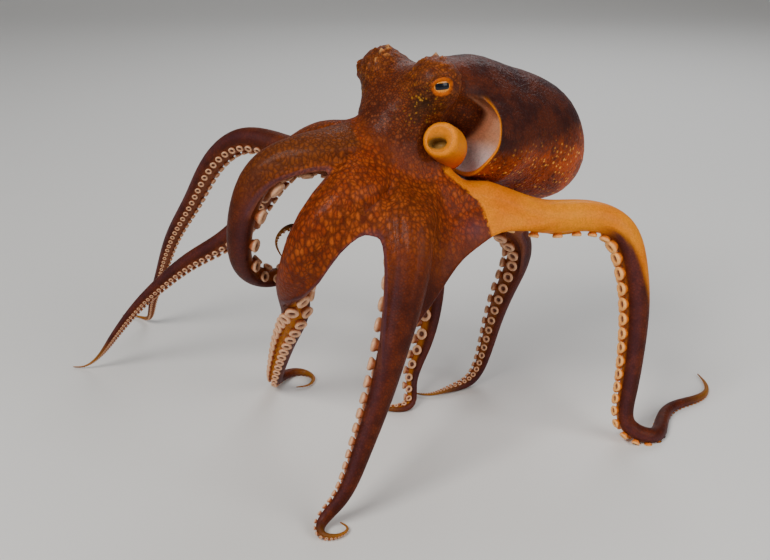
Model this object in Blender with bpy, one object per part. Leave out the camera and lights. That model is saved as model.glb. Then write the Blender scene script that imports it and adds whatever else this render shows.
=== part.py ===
"""Octopus, a still life-size model: mantle, head, eyes, funnel, eight arms and eight webs.

All sizes below are in millimetres; the meshes are made in metres, +Z up, standing on z = 0.
Run with: blender --background --python part.py
"""
import math

import bmesh
import bpy
import numpy as np

# ---------------------------------------------------------------- driving sizes
MM = 0.001
CENTRE = np.array([0.1, 18.2, 0.0])         # middle of the spread arms, put over the origin
GAP = 0.3                                   # clear space between neighbouring solids

CROWN = np.array([-2.0, 0.0, 115.0])        # where the eight arms meet, at half their depth
CROWN_LEAN = 29.0                           # degrees the crown leans towards +X
CROWN_RADIUS = 22.0
CROWN_RISE = 7.5                            # crown's upper side above its middle
CROWN_DROP = 6.0                            # crown's mouth side below its middle
CROWN_KEEL = 9.0                            # extra height of the ridge under the funnel
KEEL_SIDE = -14.0                           # azimuth of that ridge
KEEL_CREST = 4.5                            # what the ridge rises further out, at its top
CROWN_SHOULDER = 6.0                        # extra height of the crown in front of the head
SHOULDER_SIDE = 190.0                       # azimuth of that shoulder
CROWN_BLEND = 24.0                          # length over which crown turns into arms and web

ARM_RADIUS = 8.6
TIP_RADIUS = 0.8
ORAL_DEPTH = 0.74                           # sucker side of an arm, flatter than the outer side
EDGE_ANGLE = 15.0                           # half of the strip on each side of an arm
ARM_COLUMNS = 4                             # facets across each face of an arm
WEB_COLUMNS = 4
ROW_STEP = 6.4
SUCKER_BUMP = 0.75                          # sucker height as a share of the arm's radius

EYE_RADIUS = 4.6
TURRET_RADIUS = 10.0
TURRET_MIDDLE = np.array([9.4, 6.5, 153.0])
TURRET_SPREAD = 14.8                        # each turret's distance from the middle plane
EYE_DEPTH = 6.3                             # eyeball's centre from its turret's centre
LEFT = np.array([0.66, -0.76, 0.0])         # the head's own left side
EYE_LOOK = np.array([0.22, -0.96, 0.10])    # where the left eye looks

ARM_SHARES = [0.95, 1.0, 1.0, 1.0, 0.95, 0.9, 0.84, 0.78]   # thickness of each arm in turn

# name, azimuth round the crown, route beyond the crown as x, y, z and roll in degrees
ARMS = [
    ("left_1", 208, [(-33, -13, 126, 0), (-46, -15, 121, 0), (-54, -16, 107, 0),
                     (-57, -14, 92, 0), (-56, -7, 78, 0), (-47, 3, 70, 0), (-36, 6, 74, 0),
                     (-31, 5, 84, 0), (-38, 4, 92, 0), (-45, 4, 86, 0), (-43, 4, 79, 0)]),
    ("left_2", 252, [(-18, -30, 112, 0), (-28, -33, 100.5, 0), (-33.5, -29, 87, 0),
                     (-36.5, -20, 75, 60), (-37, -8, 60, 140), (-42, 6, 42, 170),
                     (-47.5, 20, 23, 175), (-51, 33, 7, 180), (-49, 44, 2.8, 180),
                     (-42, 50, 2.0, 180), (-35, 46, 1.6, 180), (-36, 38, 1.2, 180),
                     (-42, 36, 1.0, 180)]),
    ("left_3", 298, [(10, -32, 103, 0), (9, -41, 88, 0), (4, -50, 68, -12), (-2.6, -59, 46, -30),
                     (-9.8, -67, 26, -30), (-17.6, -73, 10, -20), (-24, -77, 2.8, 0),
                     (-23, -82, 1.8, 0), (-17, -82, 1.4, 0), (-14, -77, 1.2, 0),
                     (-17, -73, 1.0, 0)]),
    ("left_4", 347, [(29, -3, 107, 0), (45, -3, 103.5, 0), (63, -2, 98, 0), (82, 3, 96.5, 0), (97, 5, 90, 0),
                     (103, 3, 76, 0), (105, -1, 60, 0), (104.5, -5, 42, 0),
                     (102.5, -9, 22, 0), (104, -11, 7, 0), (114, -12, 2.6, 0),
                     (123, 4, 2, 0), (132, 17, 1.6, 0), (146, 26, 1.3, 0),
                     (152, 38, 1.0, 0), (151, 50, 0.9, 0)]),
    ("right_4", 31, [(36, 20, 97, 0), (51, 29, 86, 0), (60, 38, 70, 0), (56, 43, 50, 0),
                     (51, 45, 32, 0), (47, 44, 15, 0), (41, 39, 4, 0), (30, 32, 2, 0),
                     (20, 28, 1.4, 0), (12, 31, 1.0, 0)]),
    ("right_3", 76, [(10, 36, 98, 0), (18, 42, 78, 0), (22, 40, 58, 0), (21, 35, 40, 0),
                     (17, 31, 24, 0), (12, 24, 9, 0), (11, 16, 2.5, 0), (3, 14, 1.6, 0),
                     (-4, 18, 1.2, 0), (-7, 26, 0.9, 0)]),
    ("right_2", 122, [(-29, 36, 112, 0), (-45, 49, 113, 0), (-64, 59, 114, 0),
                      (-80, 67, 101, 0), (-91, 74, 82, 0), (-104, 83, 60, 0),
                      (-114, 93, 36, 0), (-122, 103, 15, 0), (-127, 111, 3.2, 0),
                      (-134, 117, 1.4, 0), (-143, 120, 0.9, 0)]),
    ("right_1", 165, [(-38, 14, 118, 0), (-50, 24, 103, 0), (-60, 32, 86, 0),
                      (-72, 36, 74, 0), (-88, 41, 63, 0), (-102, 46, 51, 0),
                      (-116, 50, 37, 0), (-131, 54, 18, 0), (-141, 56, 5.5, 0),
                      (-148, 57, 1.2, 0), (-153, 57.5, 0.9, 0)]),
]
# web after each arm: length along both arms, share cut away at its arch, lean of the arch
WEBS = [("left_1_2", 48, 0.75, 1.3), ("left_2_3", 70, 0.70, 1.2), ("left_3_4", 52, 0.30, 1.5),
        ("ventral", 78, 0.32, 4.0), ("right_4_3", 45, 0.25, 1.0), ("right_3_2", 45, 0.25, 1.0),
        ("right_2_1", 45, 0.25, 1.0), ("dorsal", 45, 0.20, 1.0)]

# line through head and mantle
BODY_LINE = [(-2, 0, 114), (1, 1, 127), (6, 5, 137.5), (14, 11, 143.5), (25, 19, 142.5),
             (37, 28, 136.5), (49, 37, 128), (61, 46, 117), (70, 53, 105), (76, 58, 94)]
MANTLE_RADIUS = 28.0

COLOURS = {"mantle": (0.17, 0.035, 0.02), "head": (0.25, 0.06, 0.02), "arm": (0.20, 0.04, 0.03),
           "web": (0.24, 0.055, 0.02), "orange": (0.75, 0.26, 0.02), "eye": (0.30, 0.12, 0.02)}


# ---------------------------------------------------------------- small maths
def unit(v):
    """Vectors scaled to length one."""
    return v / np.linalg.norm(v, axis=-1, keepdims=True)


def smooth(x):
    """Zero to one with flat ends."""
    x = np.clip(x, 0.0, 1.0)
    return x * x * (3.0 - 2.0 * x)


def spline(points, count):
    """Natural cubic spline through rows of numbers, sampled evenly in its parameter."""
    p = np.asarray(points, float)
    steps = np.linalg.norm(np.diff(p[:, :3], axis=0), axis=1) ** 0.75
    t = np.concatenate([[0.0], np.cumsum(steps)])
    n = len(p)
    h = np.diff(t)
    a = np.eye(n)
    b = np.zeros_like(p)
    for i in range(1, n - 1):
        a[i, i - 1:i + 2] = h[i - 1], 2.0 * (h[i - 1] + h[i]), h[i]
        b[i] = 6.0 * ((p[i + 1] - p[i]) / h[i] - (p[i] - p[i - 1]) / h[i - 1])
    m = np.linalg.solve(a, b)
    x = np.linspace(0.0, t[-1], count)
    i = np.clip(np.searchsorted(t, x) - 1, 0, n - 2)
    u = (x - t[i])[:, None]
    w = (t[i + 1] - x)[:, None]
    k = h[i][:, None]
    curve = (m[i] * w ** 3 + m[i + 1] * u ** 3) / (6.0 * k)
    return curve + (p[i] / k - m[i] * k / 6.0) * w + (p[i + 1] / k - m[i + 1] * k / 6.0) * u


def course(points, start):
    """Even 1 mm steps along a route, with a frame carried along it and turned by its roll."""
    fine = spline(points, 1500)
    run = np.concatenate([[0.0], np.cumsum(np.linalg.norm(np.diff(fine[:, :3], axis=0), axis=1))])
    at = np.linspace(0.0, run[-1], int(round(run[-1])) + 1)
    q = np.stack([np.interp(at, run, fine[:, c]) for c in range(4)], 1)
    place = q[:, :3]
    ahead = unit(np.gradient(place, axis=0))
    under = np.zeros_like(place)
    carried = np.array(start, float)
    for i in range(len(at)):
        carried = carried - ahead[i] * (carried @ ahead[i])
        carried = unit(carried)
        under[i] = carried
    across = np.cross(ahead, under)
    roll = np.radians(q[:, 3:4])
    under = under * np.cos(roll) + across * np.sin(roll)
    across = np.cross(ahead, under)
    return {"at": at, "place": place, "under": under, "across": across, "length": run[-1]}


def along(table, name, s):
    """A column of a course at distances s."""
    return np.stack([np.interp(s, table["at"], table[name][:, c]) for c in range(3)], -1)


# ---------------------------------------------------------------- crown, arms and webs
LEAN = math.radians(CROWN_LEAN)
CROWN_X = np.array([math.cos(LEAN), 0.0, -math.sin(LEAN)])
CROWN_Y = np.array([0.0, 1.0, 0.0])
CROWN_UP = np.array([math.sin(LEAN), 0.0, math.cos(LEAN)])
AZIMUTHS = np.array([a[1] for a in ARMS], float)
AZIMUTHS = np.where(AZIMUTHS < AZIMUTHS[0], AZIMUTHS + 360.0, AZIMUTHS)
ARM_SHARE = 17.0                            # degrees each arm takes on either side at the crown


def outward(azimuth):
    """Direction away from the crown's axis at an azimuth in degrees."""
    a = np.radians(np.asarray(azimuth, float))[..., None]
    return np.cos(a) * CROWN_X + np.sin(a) * CROWN_Y


def make_courses():
    """The eight arms' courses, from the crown's ring to their tips."""
    tables = []
    for name, azimuth, route in ARMS:
        base = CROWN + CROWN_RADIUS * outward(azimuth)
        tables.append(course([(*base, 0.0)] + route, -CROWN_UP))
    return tables


COURSES = make_courses()


def arm_radius(k, s):
    """Radius of arm k at distance s, falling slowly at first."""
    x = np.clip(s / COURSES[k]["length"], 0.0, 1.0)
    share = 1.0 + (ARM_SHARES[k] - 1.0) * smooth(s / 60.0)
    return TIP_RADIUS + (ARM_RADIUS * share - TIP_RADIUS) * (1.0 - x ** 1.25)


def dome(azimuth, s, side):
    """Crown's upper (side 1) or mouth (side -1) surface, s outside its ring."""
    s = np.asarray(s, float)[..., None]
    near = np.exp((np.cos(np.radians(np.asarray(azimuth, float)[..., None] - KEEL_SIDE)) - 1.0) * 8.5)
    keel = near * (CROWN_KEEL * (1.0 - smooth(s / 36.0)) + KEEL_CREST * np.exp(-((s - 11.0) / 8.0) ** 2))
    back = np.exp((np.cos(np.radians(np.asarray(azimuth, float)[..., None] - SHOULDER_SIDE)) - 1.0) * 3.0)
    keel = keel + CROWN_SHOULDER * back * (1.0 - smooth(s / 40.0))
    level = np.where(side > 0, CROWN_RISE - 0.12 * s + keel, -CROWN_DROP + 0.05 * s)
    return CROWN + (CROWN_RADIUS + 0.85 * s) * outward(azimuth) + level * CROWN_UP


def arm_point(k, s, angle, azimuth, side, bump=0.0):
    """Skin of arm k at distance s and angle round it (0 at its leading side, 90 outermost)."""
    s = np.asarray(s, float)
    turn = np.radians(angle)
    r = arm_radius(k, s)[..., None]
    depth = np.where(np.sin(turn) > 0, 1.0, ORAL_DEPTH)
    swell = 1.0 + np.asarray(bump, float)[..., None]
    free = along(COURSES[k], "place", s) + swell * r * (
        np.cos(turn)[..., None] * along(COURSES[k], "across", s)
        - (depth * np.sin(turn))[..., None] * along(COURSES[k], "under", s))
    share = smooth(s / CROWN_BLEND)[..., None]
    return free * share + dome(azimuth, s, side) * (1.0 - share)


def arm_rings(k, distances):
    """Closed rings of arm k, outer face first, then the sucker face."""
    s = np.asarray(distances, float)
    t = np.linspace(0.0, 1.0, ARM_COLUMNS + 1)
    azimuth = AZIMUTHS[k] + ARM_SHARE * (2.0 * t - 1.0)
    outer = 180.0 - EDGE_ANGLE - (180.0 - 2.0 * EDGE_ANGLE) * t
    inner = 180.0 + EDGE_ANGLE + (180.0 - 2.0 * EDGE_ANGLE) * t
    rows = []
    for j, d in enumerate(s):
        full = np.full(ARM_COLUMNS + 1, d)
        strength = SUCKER_BUMP * smooth((d - 12.0) / 16.0) * smooth((arm_radius(k, d) - 1.6) / 2.0)
        bump = np.zeros(ARM_COLUMNS + 1)
        bump[1] = strength * (j % 2)
        bump[-2] = strength * ((j + 1) % 2)
        top = arm_point(k, full, outer, azimuth, 1)
        low = arm_point(k, full, inner, azimuth, -1, bump)
        rows.append(np.concatenate([top, low[::-1]]))
    return np.array(rows)


WEB_STEPS = np.linspace(0.0, 1.0, WEB_COLUMNS + 1)


def web_arch(u, cut, lean):
    """Share of a web's length that is cut away at u across it."""
    return cut * (1.0 - np.abs(2.0 * u ** lean - 1.0) ** 4.0)


def web_rings(k, distances):
    """Closed rings of the web between arm k and the next, outer face first."""
    n = (k + 1) % 8
    name, length, cut, lean = WEBS[k]
    step = (AZIMUTHS[n] - AZIMUTHS[k]) % 360.0
    start = AZIMUTHS[k] + ARM_SHARE
    width = step - 2.0 * ARM_SHARE
    rows = []
    for d in distances:
        wide = np.linalg.norm(
            arm_point(n, np.array([d]), np.array([180.0]), np.array([start + width]), 1)
            - arm_point(k, np.array([d]), np.array([0.0]), np.array([start]), 1))
        edge = GAP / wide
        share = 0.5 - 0.5 * np.cos(np.pi * WEB_STEPS)
        u = edge + (1.0 - 2.0 * edge) * share
        s = GAP + (d - GAP) * (1.0 - web_arch(share, cut, lean))
        a0 = np.full_like(u, start)
        a1 = np.full_like(u, start + width)
        flat = np.full_like(u, EDGE_ANGLE)
        near_top = arm_point(k, s, flat, a0, 1)
        near_low = arm_point(k, s, -flat, a0, -1)
        far_top = arm_point(n, s, 180.0 - flat, a1, 1)
        far_low = arm_point(n, s, 180.0 + flat, a1, -1)
        w = u[:, None]
        top = near_top * (1.0 - w) + far_top * w
        low = near_low * (1.0 - w) + far_low * w
        middle = 0.5 * (top + low)
        half = 0.5 * (top - low)
        thin = 1.0 - 0.72 * smooth(d / CROWN_BLEND) * (1.0 - np.abs(2.0 * w - 1.0) ** 2.0)
        half = half * thin
        rows.append(np.concatenate([middle + half, (middle - half)[::-1]]))
    return np.array(rows)


def ring_columns():
    """Azimuth of every column round the crown, five to an arm."""
    columns = []
    for k in range(8):
        t = np.linspace(0.0, 1.0, ARM_COLUMNS + 1)
        columns.extend(AZIMUTHS[k] + ARM_SHARE * (2.0 * t - 1.0))
    return np.array(columns)


# ---------------------------------------------------------------- head and mantle
BODY = course([(*p, 0.0) for p in BODY_LINE], CROWN_X)
VENTRAL = 38.5                              # azimuth that turns to the animal's underside
LIP_SIDE = -18.0                            # azimuth where the mantle's edge flares most
FUNNEL_SIDE = -15.0                         # azimuth where the funnel holds the mantle's edge open
ROOT_SIDE = 6.0                             # azimuth of the funnel's broad root under the head
HEAD_ROWS = 11                              # rows of the body that belong to the head


def body_profile(azimuth):
    """Distance along the body and radius of each row, from the crown to the mantle's tip.

    Two profiles are mixed: round the underside the mantle's edge stands open as a fold,
    and over the back the head runs straight into the mantle.
    """
    angle = np.abs((np.asarray(azimuth) - VENTRAL + 180.0) % 360.0 - 180.0)
    side = (np.asarray(azimuth) - VENTRAL + 180.0) % 360.0 - 180.0
    shut = np.where(side < 0.0, smooth((angle - 84.0) / 24.0), smooth((angle - 82.0) / 42.0))
    opened = (1.0 - shut)[:, None]
    left = np.abs((np.asarray(azimuth) - FUNNEL_SIDE + 180.0) % 360.0 - 180.0)
    under = (1.0 - smooth((left - 15.0) / 45.0))[:, None]
    head_at = np.array([7.5, 12.5, 18.0, 22.0, 26.0, 30.0, 34.0, 38.0, 42.0])
    head_r = np.array([22.0, 17.2, 15.2, 14.6, 14.3, 14.2, 14.0, 13.6, 13.2])
    open_at = np.array([48.0, 56.0, 63.5, 65.0, 62.0, 57.5, 55.5, 56.5, 60.0])
    open_r = np.array([13.6, 15.5, 17.0, 20.5, 23.2, 24.0, 25.0, 25.8, 26.2])
    wide_r = np.array([14.0, 16.5, 18.5, 22.5, 27.5, 29.5, 30.8, 31.2, 30.6])
    shut_at = np.array([44.0, 46.0, 47.5, 48.5, 49.5, 50.5, 51.5, 52.5, 55.0])
    shut_r = np.array([15.2, 15.8, 16.3, 16.8, 17.2, 17.6, 18.0, 18.4, 19.2])
    flared = (1.0 - smooth((np.abs(side - LIP_SIDE + VENTRAL) - 8.0) / 30.0))[:, None]
    wide_r = wide_r + 4.5 * flared * np.array([0.0, 0.0, 0.0, 0.2, 0.55, 0.85, 1.0, 1.0, 1.0])
    end = BODY["length"]
    back_at = np.array([66.0, 74.0, 84.0, 94.0, 104.0, 112.5, 118.5]) * end / 122.0
    round_r = MANTLE_RADIUS * (1.0 - np.abs((back_at - 84.0) / (end - 84.0)) ** 2.4) ** (1 / 2.0)
    above = smooth((angle - 80.0) / 60.0)[:, None] * (1.0 - smooth((back_at - 68.0) / 38.0))
    round_r = round_r * (1.0 - 0.23 * above)
    fold_r = open_r + (wide_r - open_r) * np.maximum(under, flared)
    shift = (fold_r[:, -1:] - 25.0) * (1.0 - smooth((back_at - 58.0) / 40.0))
    fold_r = fold_r * opened + shut_r * (1.0 - opened)
    fold_at = open_at * opened + shut_at * (1.0 - opened)
    back_r = round_r + shift * opened
    cheek = (1.0 - smooth(left / 75.0))[:, None] * np.array([0.0, 3.6, 4.2, 3.2, 1.8, 0.8, 0.0, 0.0, 0.0])
    beside = np.abs((np.asarray(azimuth) - ROOT_SIDE + 180.0) % 360.0 - 180.0)
    root = (1.0 - smooth(beside / 70.0))[:, None] * np.array([0.0, 8.5, 13.0, 12.5, 9.5, 7.0, 3.5, 1.0, 0.0])
    cheek = np.maximum(cheek, root)
    cheek = cheek + (1.0 - opened) * np.array([0.0, 0.0, 0.0, 0.0, 0.0, 0.0, 0.3, 0.8, 1.6])
    n = len(angle)
    at = np.concatenate([np.tile(head_at, (n, 1)), fold_at, np.tile(back_at, (n, 1))], 1)
    radius = np.concatenate([head_r + cheek, fold_r, back_r], 1)
    return at, radius


def body_rings(columns):
    """Closed rings from the crown's upper edge to the mantle's tip, one point per column."""
    at, radius = body_profile(columns)
    a = np.radians(columns)[:, None, None]
    start_x = CROWN_X
    first_across = BODY["across"][0]
    flip = 1.0 if first_across @ CROWN_Y > 0 else -1.0
    x = along(BODY, "under", at)
    y = flip * along(BODY, "across", at)
    centre = along(BODY, "place", at)
    points = centre + radius[..., None] * (np.cos(a) * x + np.sin(a) * y)
    ring = dome(columns, np.zeros(len(columns)), 1)
    points[:, 0] = ring
    points = raise_turrets(points, centre)
    return points.transpose(1, 0, 2)


def turret_centre(side):
    """Centre of the left (1) or right (-1) eye turret."""
    return TURRET_MIDDLE + side * TURRET_SPREAD * LEFT


def eye_centre(side):
    """Centre of an eyeball, looking out of its turret."""
    look = unit(EYE_LOOK)
    if side < 0:
        look = look - 2.0 * (look @ LEFT) * LEFT / (LEFT @ LEFT)
    return turret_centre(side) + EYE_DEPTH * look


def raise_turrets(points, centre):
    """Push the head's skin out on to the two round turrets that carry the eyes."""
    ray = points - centre
    reach = np.linalg.norm(ray, axis=-1)
    ray = ray / reach[..., None]
    keep = np.zeros(points.shape[1])
    keep[1:HEAD_ROWS - 1] = 1.0
    for side in (1, -1):
        to = turret_centre(side) - centre
        along_ray = (to * ray).sum(-1)
        miss = (to * to).sum(-1) - along_ray ** 2
        hit = np.sqrt(np.maximum(TURRET_RADIUS ** 2 - miss, 0.0))
        far = np.where((miss < TURRET_RADIUS ** 2) & (along_ray > 0), along_ray + hit, 0.0)
        blend = 4.0
        mix = smooth(0.5 + 0.5 * (far - reach) / blend) * keep
        reach = reach * (1.0 - mix) + far * mix + blend * mix * (1.0 - mix) * 0.5
    return centre + ray * reach[..., None]


# ---------------------------------------------------------------- making solids
PARTS = bpy.data.collections.new("octopus")
CUTTERS = bpy.data.collections.new("cutters")


def material(name, colour, roughness):
    """A Principled material in the part's colour."""
    made = bpy.data.materials.new(name)
    made.use_nodes = True
    shader = made.node_tree.nodes["Principled BSDF"]
    shader.inputs["Base Color"].default_value = (*colour, 1.0)
    shader.inputs["Roughness"].default_value = roughness
    shader.inputs["Metallic"].default_value = 0.0
    return made


def add_solid(name, points, faces, colour, roughness=0.45, collection=None):
    """One closed solid from points in millimetres, standing on or above the floor."""
    place = np.asarray(points, float) - CENTRE
    place[:, 2] = np.maximum(place[:, 2], 0.0)
    mesh = bpy.data.meshes.new(name)
    mesh.from_pydata((place * MM).tolist(), [], faces)
    work = bmesh.new()
    work.from_mesh(mesh)
    bmesh.ops.recalc_face_normals(work, faces=work.faces)
    work.to_mesh(mesh)
    work.free()
    mesh.materials.append(material(name, colour, roughness))
    solid = bpy.data.objects.new(name, mesh)
    (collection or PARTS).objects.link(solid)
    return solid


def loft_faces(rows, ring, caps):
    """Quads between rings, and caps that fan to two extra points or bridge a flat strip."""
    faces = []
    for j in range(rows - 1):
        for i in range(ring):
            n = (i + 1) % ring
            faces.append((j * ring + i, j * ring + n, (j + 1) * ring + n, (j + 1) * ring + i))
    for which, row in enumerate((0, rows - 1)):
        first = row * ring
        if caps == "fan":
            middle = rows * ring + which
            faces.extend((first + i, first + (i + 1) % ring, middle) for i in range(ring))
        else:
            half = ring // 2
            for i in range(half - 1):
                other = ring - 1 - i
                faces.append((first + i, first + i + 1, first + other - 1, first + other))
    return faces


def add_loft(name, rings, colour, caps="fan", ends=None, roughness=0.45, collection=None):
    """A closed solid through a stack of rings."""
    rows, ring = rings.shape[:2]
    points = rings.reshape(-1, 3)
    if caps == "fan":
        if ends is None:
            ends = (rings[0].mean(0), rings[-1].mean(0))
        points = np.concatenate([points, np.array(ends)])
    faces = loft_faces(rows, ring, caps)
    return add_solid(name, points, faces, colour, roughness, collection)


def add_ball(name, centre, radius, colour, across=10, rows=6, collection=None):
    """A round ball of facets."""
    lift = np.linspace(0.0, math.pi, rows + 1)[1:-1]
    turn = np.arange(across) * 2.0 * math.pi / across
    rings = np.stack([np.sin(lift)[:, None] * np.cos(turn), np.sin(lift)[:, None] * np.sin(turn),
                      np.cos(lift)[:, None] * np.ones(across)], -1) * radius + centre
    poles = (centre + [0, 0, radius], centre - [0, 0, radius])
    return add_loft(name, rings, colour, "fan", poles, 0.2, collection)


def cut(solid, cutter):
    """Take the cutter's shape out of a solid and keep the result as its own mesh."""
    change = solid.modifiers.new("cut", "BOOLEAN")
    change.operation = "DIFFERENCE"
    change.solver = "EXACT"
    change.object = cutter
    bpy.context.view_layer.update()
    shape = solid.evaluated_get(bpy.context.evaluated_depsgraph_get())
    finished = bpy.data.meshes.new_from_object(shape)
    solid.modifiers.clear()
    old = solid.data
    solid.data = finished
    bpy.data.meshes.remove(old)


# ---------------------------------------------------------------- sub-parts
def make_arms():
    """Each arm in three lengths."""
    for k, (name, azimuth, route) in enumerate(ARMS):
        end = COURSES[k]["length"]
        rows = np.arange(0.0, end - 2.0, ROW_STEP)
        rows = np.append(rows, end)
        first = int(round(0.36 * (len(rows) - 1)))
        second = int(round(0.70 * (len(rows) - 1)))
        stretches = (("base", 0, first), ("middle", first, second), ("tip", second, len(rows) - 1))
        orange = name == "left_4"
        for stretch, lo, hi in stretches:
            s = rows[lo:hi + 1].copy()
            s[0] += GAP
            parity = lo % 2
            rings = arm_rings(k, np.concatenate([[0.0], s]) if parity else s)
            rings = rings[1:] if parity else rings
            colour = COLOURS["orange"] if orange and stretch == "base" else COLOURS["arm"]
            add_loft("arm_" + name + "_" + stretch, rings, colour, "strip")


def make_webs():
    """The skin stretched between neighbouring arms."""
    for k, (name, length, cut_share, lean) in enumerate(WEBS):
        s = np.arange(0.0, length + 0.1, ROW_STEP)
        s[0] = GAP
        colour = COLOURS["orange"] if name == "ventral" else COLOURS["web"]
        add_loft("web_" + name, web_rings(k, s), colour, "strip")


def make_body():
    """Head with the crown and mouth side, and the mantle with its open edge."""
    columns = ring_columns()
    rings = body_rings(columns)
    split = rings[HEAD_ROWS]
    before = rings[HEAD_ROWS - 1]
    pull = GAP / np.linalg.norm(split - before, axis=-1, keepdims=True)
    head_end = split + (before - split) * pull
    low = dome(columns, np.zeros(len(columns)), -1)
    middle = low.mean(0)
    mouth = [low, middle + (low - middle) * 0.6, middle + (low - middle) * 0.25 + 1.0 * CROWN_UP]
    pole = middle + 3.0 * CROWN_UP
    back = along(BODY, "place", np.array([52.0]))[0]
    toward = unit(along(BODY, "place", np.array([51.0]))[0] - back)
    head = np.array(mouth[::-1] + list(rings[:HEAD_ROWS]) + [head_end])
    head = add_loft("head", head, COLOURS["head"], "fan", (pole, back + GAP * toward))
    tip = BODY["place"][-1]
    mantle = add_loft("mantle", rings[HEAD_ROWS:], COLOURS["mantle"], "fan", (back, tip))
    for side, name in ((1, "left"), (-1, "right")):
        centre = eye_centre(side)
        socket = add_ball("socket_" + name, centre, EYE_RADIUS + GAP, COLOURS["eye"], 10, 6, CUTTERS)
        cut(head, socket)
        add_ball("eye_" + name, centre, EYE_RADIUS, COLOURS["eye"])
    return head, mantle


FUNNEL_LINE = [(24.8, 5.5, 122.0), (24.2, -4.0, 128.2), (21.5, -13.5, 133.0)]
# steps along the funnel's line beyond its start and radii: outside, rolled rim, then the bore
FUNNEL_PROFILE = [(0.0, 6.0), (5.0, 7.4), (12.0, 8.2), (18.0, 7.9), (22.5, 7.2), (24.6, 6.0),
                  (24.8, 4.7), (23.2, 3.5), (19.0, 2.9), (13.0, 2.6)]


def funnel_rings(grow, rows, sides=14):
    """Rings of the funnel, made larger by grow for its seat."""
    line = course([(*p, 0.0) for p in FUNNEL_LINE], (0.0, 0.0, 1.0))
    turn = np.arange(sides) * 2.0 * math.pi / sides
    rings = []
    end = line["length"]
    for step, radius in rows:
        s = np.array([min(step, end)])
        over = max(step - end, 0.0)
        ahead = unit(line["place"][-1] - line["place"][-2])
        middle = along(line, "place", s) + over * ahead
        x = along(line, "under", s)
        y = along(line, "across", s)
        rings.append(middle + (radius + grow) * (np.cos(turn)[:, None] * x + np.sin(turn)[:, None] * y))
    return np.array(rings)


def make_funnel(head, mantle):
    """The funnel, seated against the neck inside the mantle's open edge."""
    seat = funnel_rings(GAP, FUNNEL_PROFILE[:6])
    ahead = unit(np.array(FUNNEL_LINE[1]) - np.array(FUNNEL_LINE[0]))
    seat[0] -= GAP * ahead
    seat = add_loft("funnel_seat", seat, COLOURS["orange"], "fan", None, 0.4, CUTTERS)
    for solid in (head, mantle):
        cut(solid, seat)
    add_loft("funnel", funnel_rings(0.0, FUNNEL_PROFILE), COLOURS["orange"])


def clear_scene():
    """Remove what the file starts with."""
    for old in list(bpy.data.objects):
        bpy.data.objects.remove(old, do_unlink=True)


def build():
    """Make every sub-part in its collection."""
    clear_scene()
    bpy.context.scene.collection.children.link(PARTS)
    bpy.context.scene.collection.children.link(CUTTERS)
    head, mantle = make_body()
    make_funnel(head, mantle)
    make_arms()
    make_webs()
    for cutter in CUTTERS.objects:
        cutter.hide_render = True
        cutter.display_type = "WIRE"


build()
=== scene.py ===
"""Octopus: one unbroken skin over the whole animal, with its suckers and its eyes.

Sizes are in millimetres in the animal's own frame; every mesh is made in metres, standing on
z = 0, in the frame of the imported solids. A surface is a function of two parameters on a grid.
"""
import math
from types import SimpleNamespace

import bpy
import numpy as np
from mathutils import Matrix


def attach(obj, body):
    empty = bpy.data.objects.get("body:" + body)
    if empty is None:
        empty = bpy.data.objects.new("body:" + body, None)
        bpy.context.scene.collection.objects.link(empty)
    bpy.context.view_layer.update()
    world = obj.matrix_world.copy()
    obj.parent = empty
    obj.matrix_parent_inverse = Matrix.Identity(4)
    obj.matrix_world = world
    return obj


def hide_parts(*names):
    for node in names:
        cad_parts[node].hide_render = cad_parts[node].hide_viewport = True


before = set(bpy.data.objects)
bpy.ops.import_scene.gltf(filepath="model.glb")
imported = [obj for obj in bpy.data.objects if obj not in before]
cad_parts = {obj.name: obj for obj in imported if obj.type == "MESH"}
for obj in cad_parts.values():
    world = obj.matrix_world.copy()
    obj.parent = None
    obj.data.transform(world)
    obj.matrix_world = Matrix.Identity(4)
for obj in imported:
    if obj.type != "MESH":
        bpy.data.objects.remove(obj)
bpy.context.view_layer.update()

# ---------------------------------------------------------------- sizes shared with the solids
MM = 0.001
CENTRE = np.array([0.1, 18.2, 0.0])
CROWN = np.array([-2.0, 0.0, 115.0])
CROWN_LEAN = 29.0
CROWN_RADIUS = 22.0
CROWN_RISE = 7.5
CROWN_DROP = 6.0
CROWN_KEEL = 9.0
KEEL_SIDE = -14.0
KEEL_SHARP = 8.5
KEEL_LENGTH = 36.0
KEEL_CREST = 4.5
CREST_AT = 11.0
CREST_WIDTH = 8.0
CROWN_SHOULDER = 6.0
SHOULDER_SIDE = 190.0
SHOULDER_SHARP = 3.0
SHOULDER_LENGTH = 40.0
CROWN_BLEND = 24.0
ARM_RADIUS = 8.6
TIP_RADIUS = 0.8
ORAL_DEPTH = 0.74
EDGE_ANGLE = 15.0
ARM_SHARE = 17.0
EYE_RADIUS = 4.6
TURRET_RADIUS = 10.0
TURRET_MIDDLE = np.array([9.4, 6.5, 153.0])
TURRET_SPREAD = 14.8
EYE_DEPTH = 6.3
LEFT = np.array([0.66, -0.76, 0.0])
EYE_LOOK = np.array([0.22, -0.96, 0.10])
ARM_SHARES = [0.95, 1.0, 1.0, 1.0, 0.95, 0.9, 0.84, 0.78]

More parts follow.
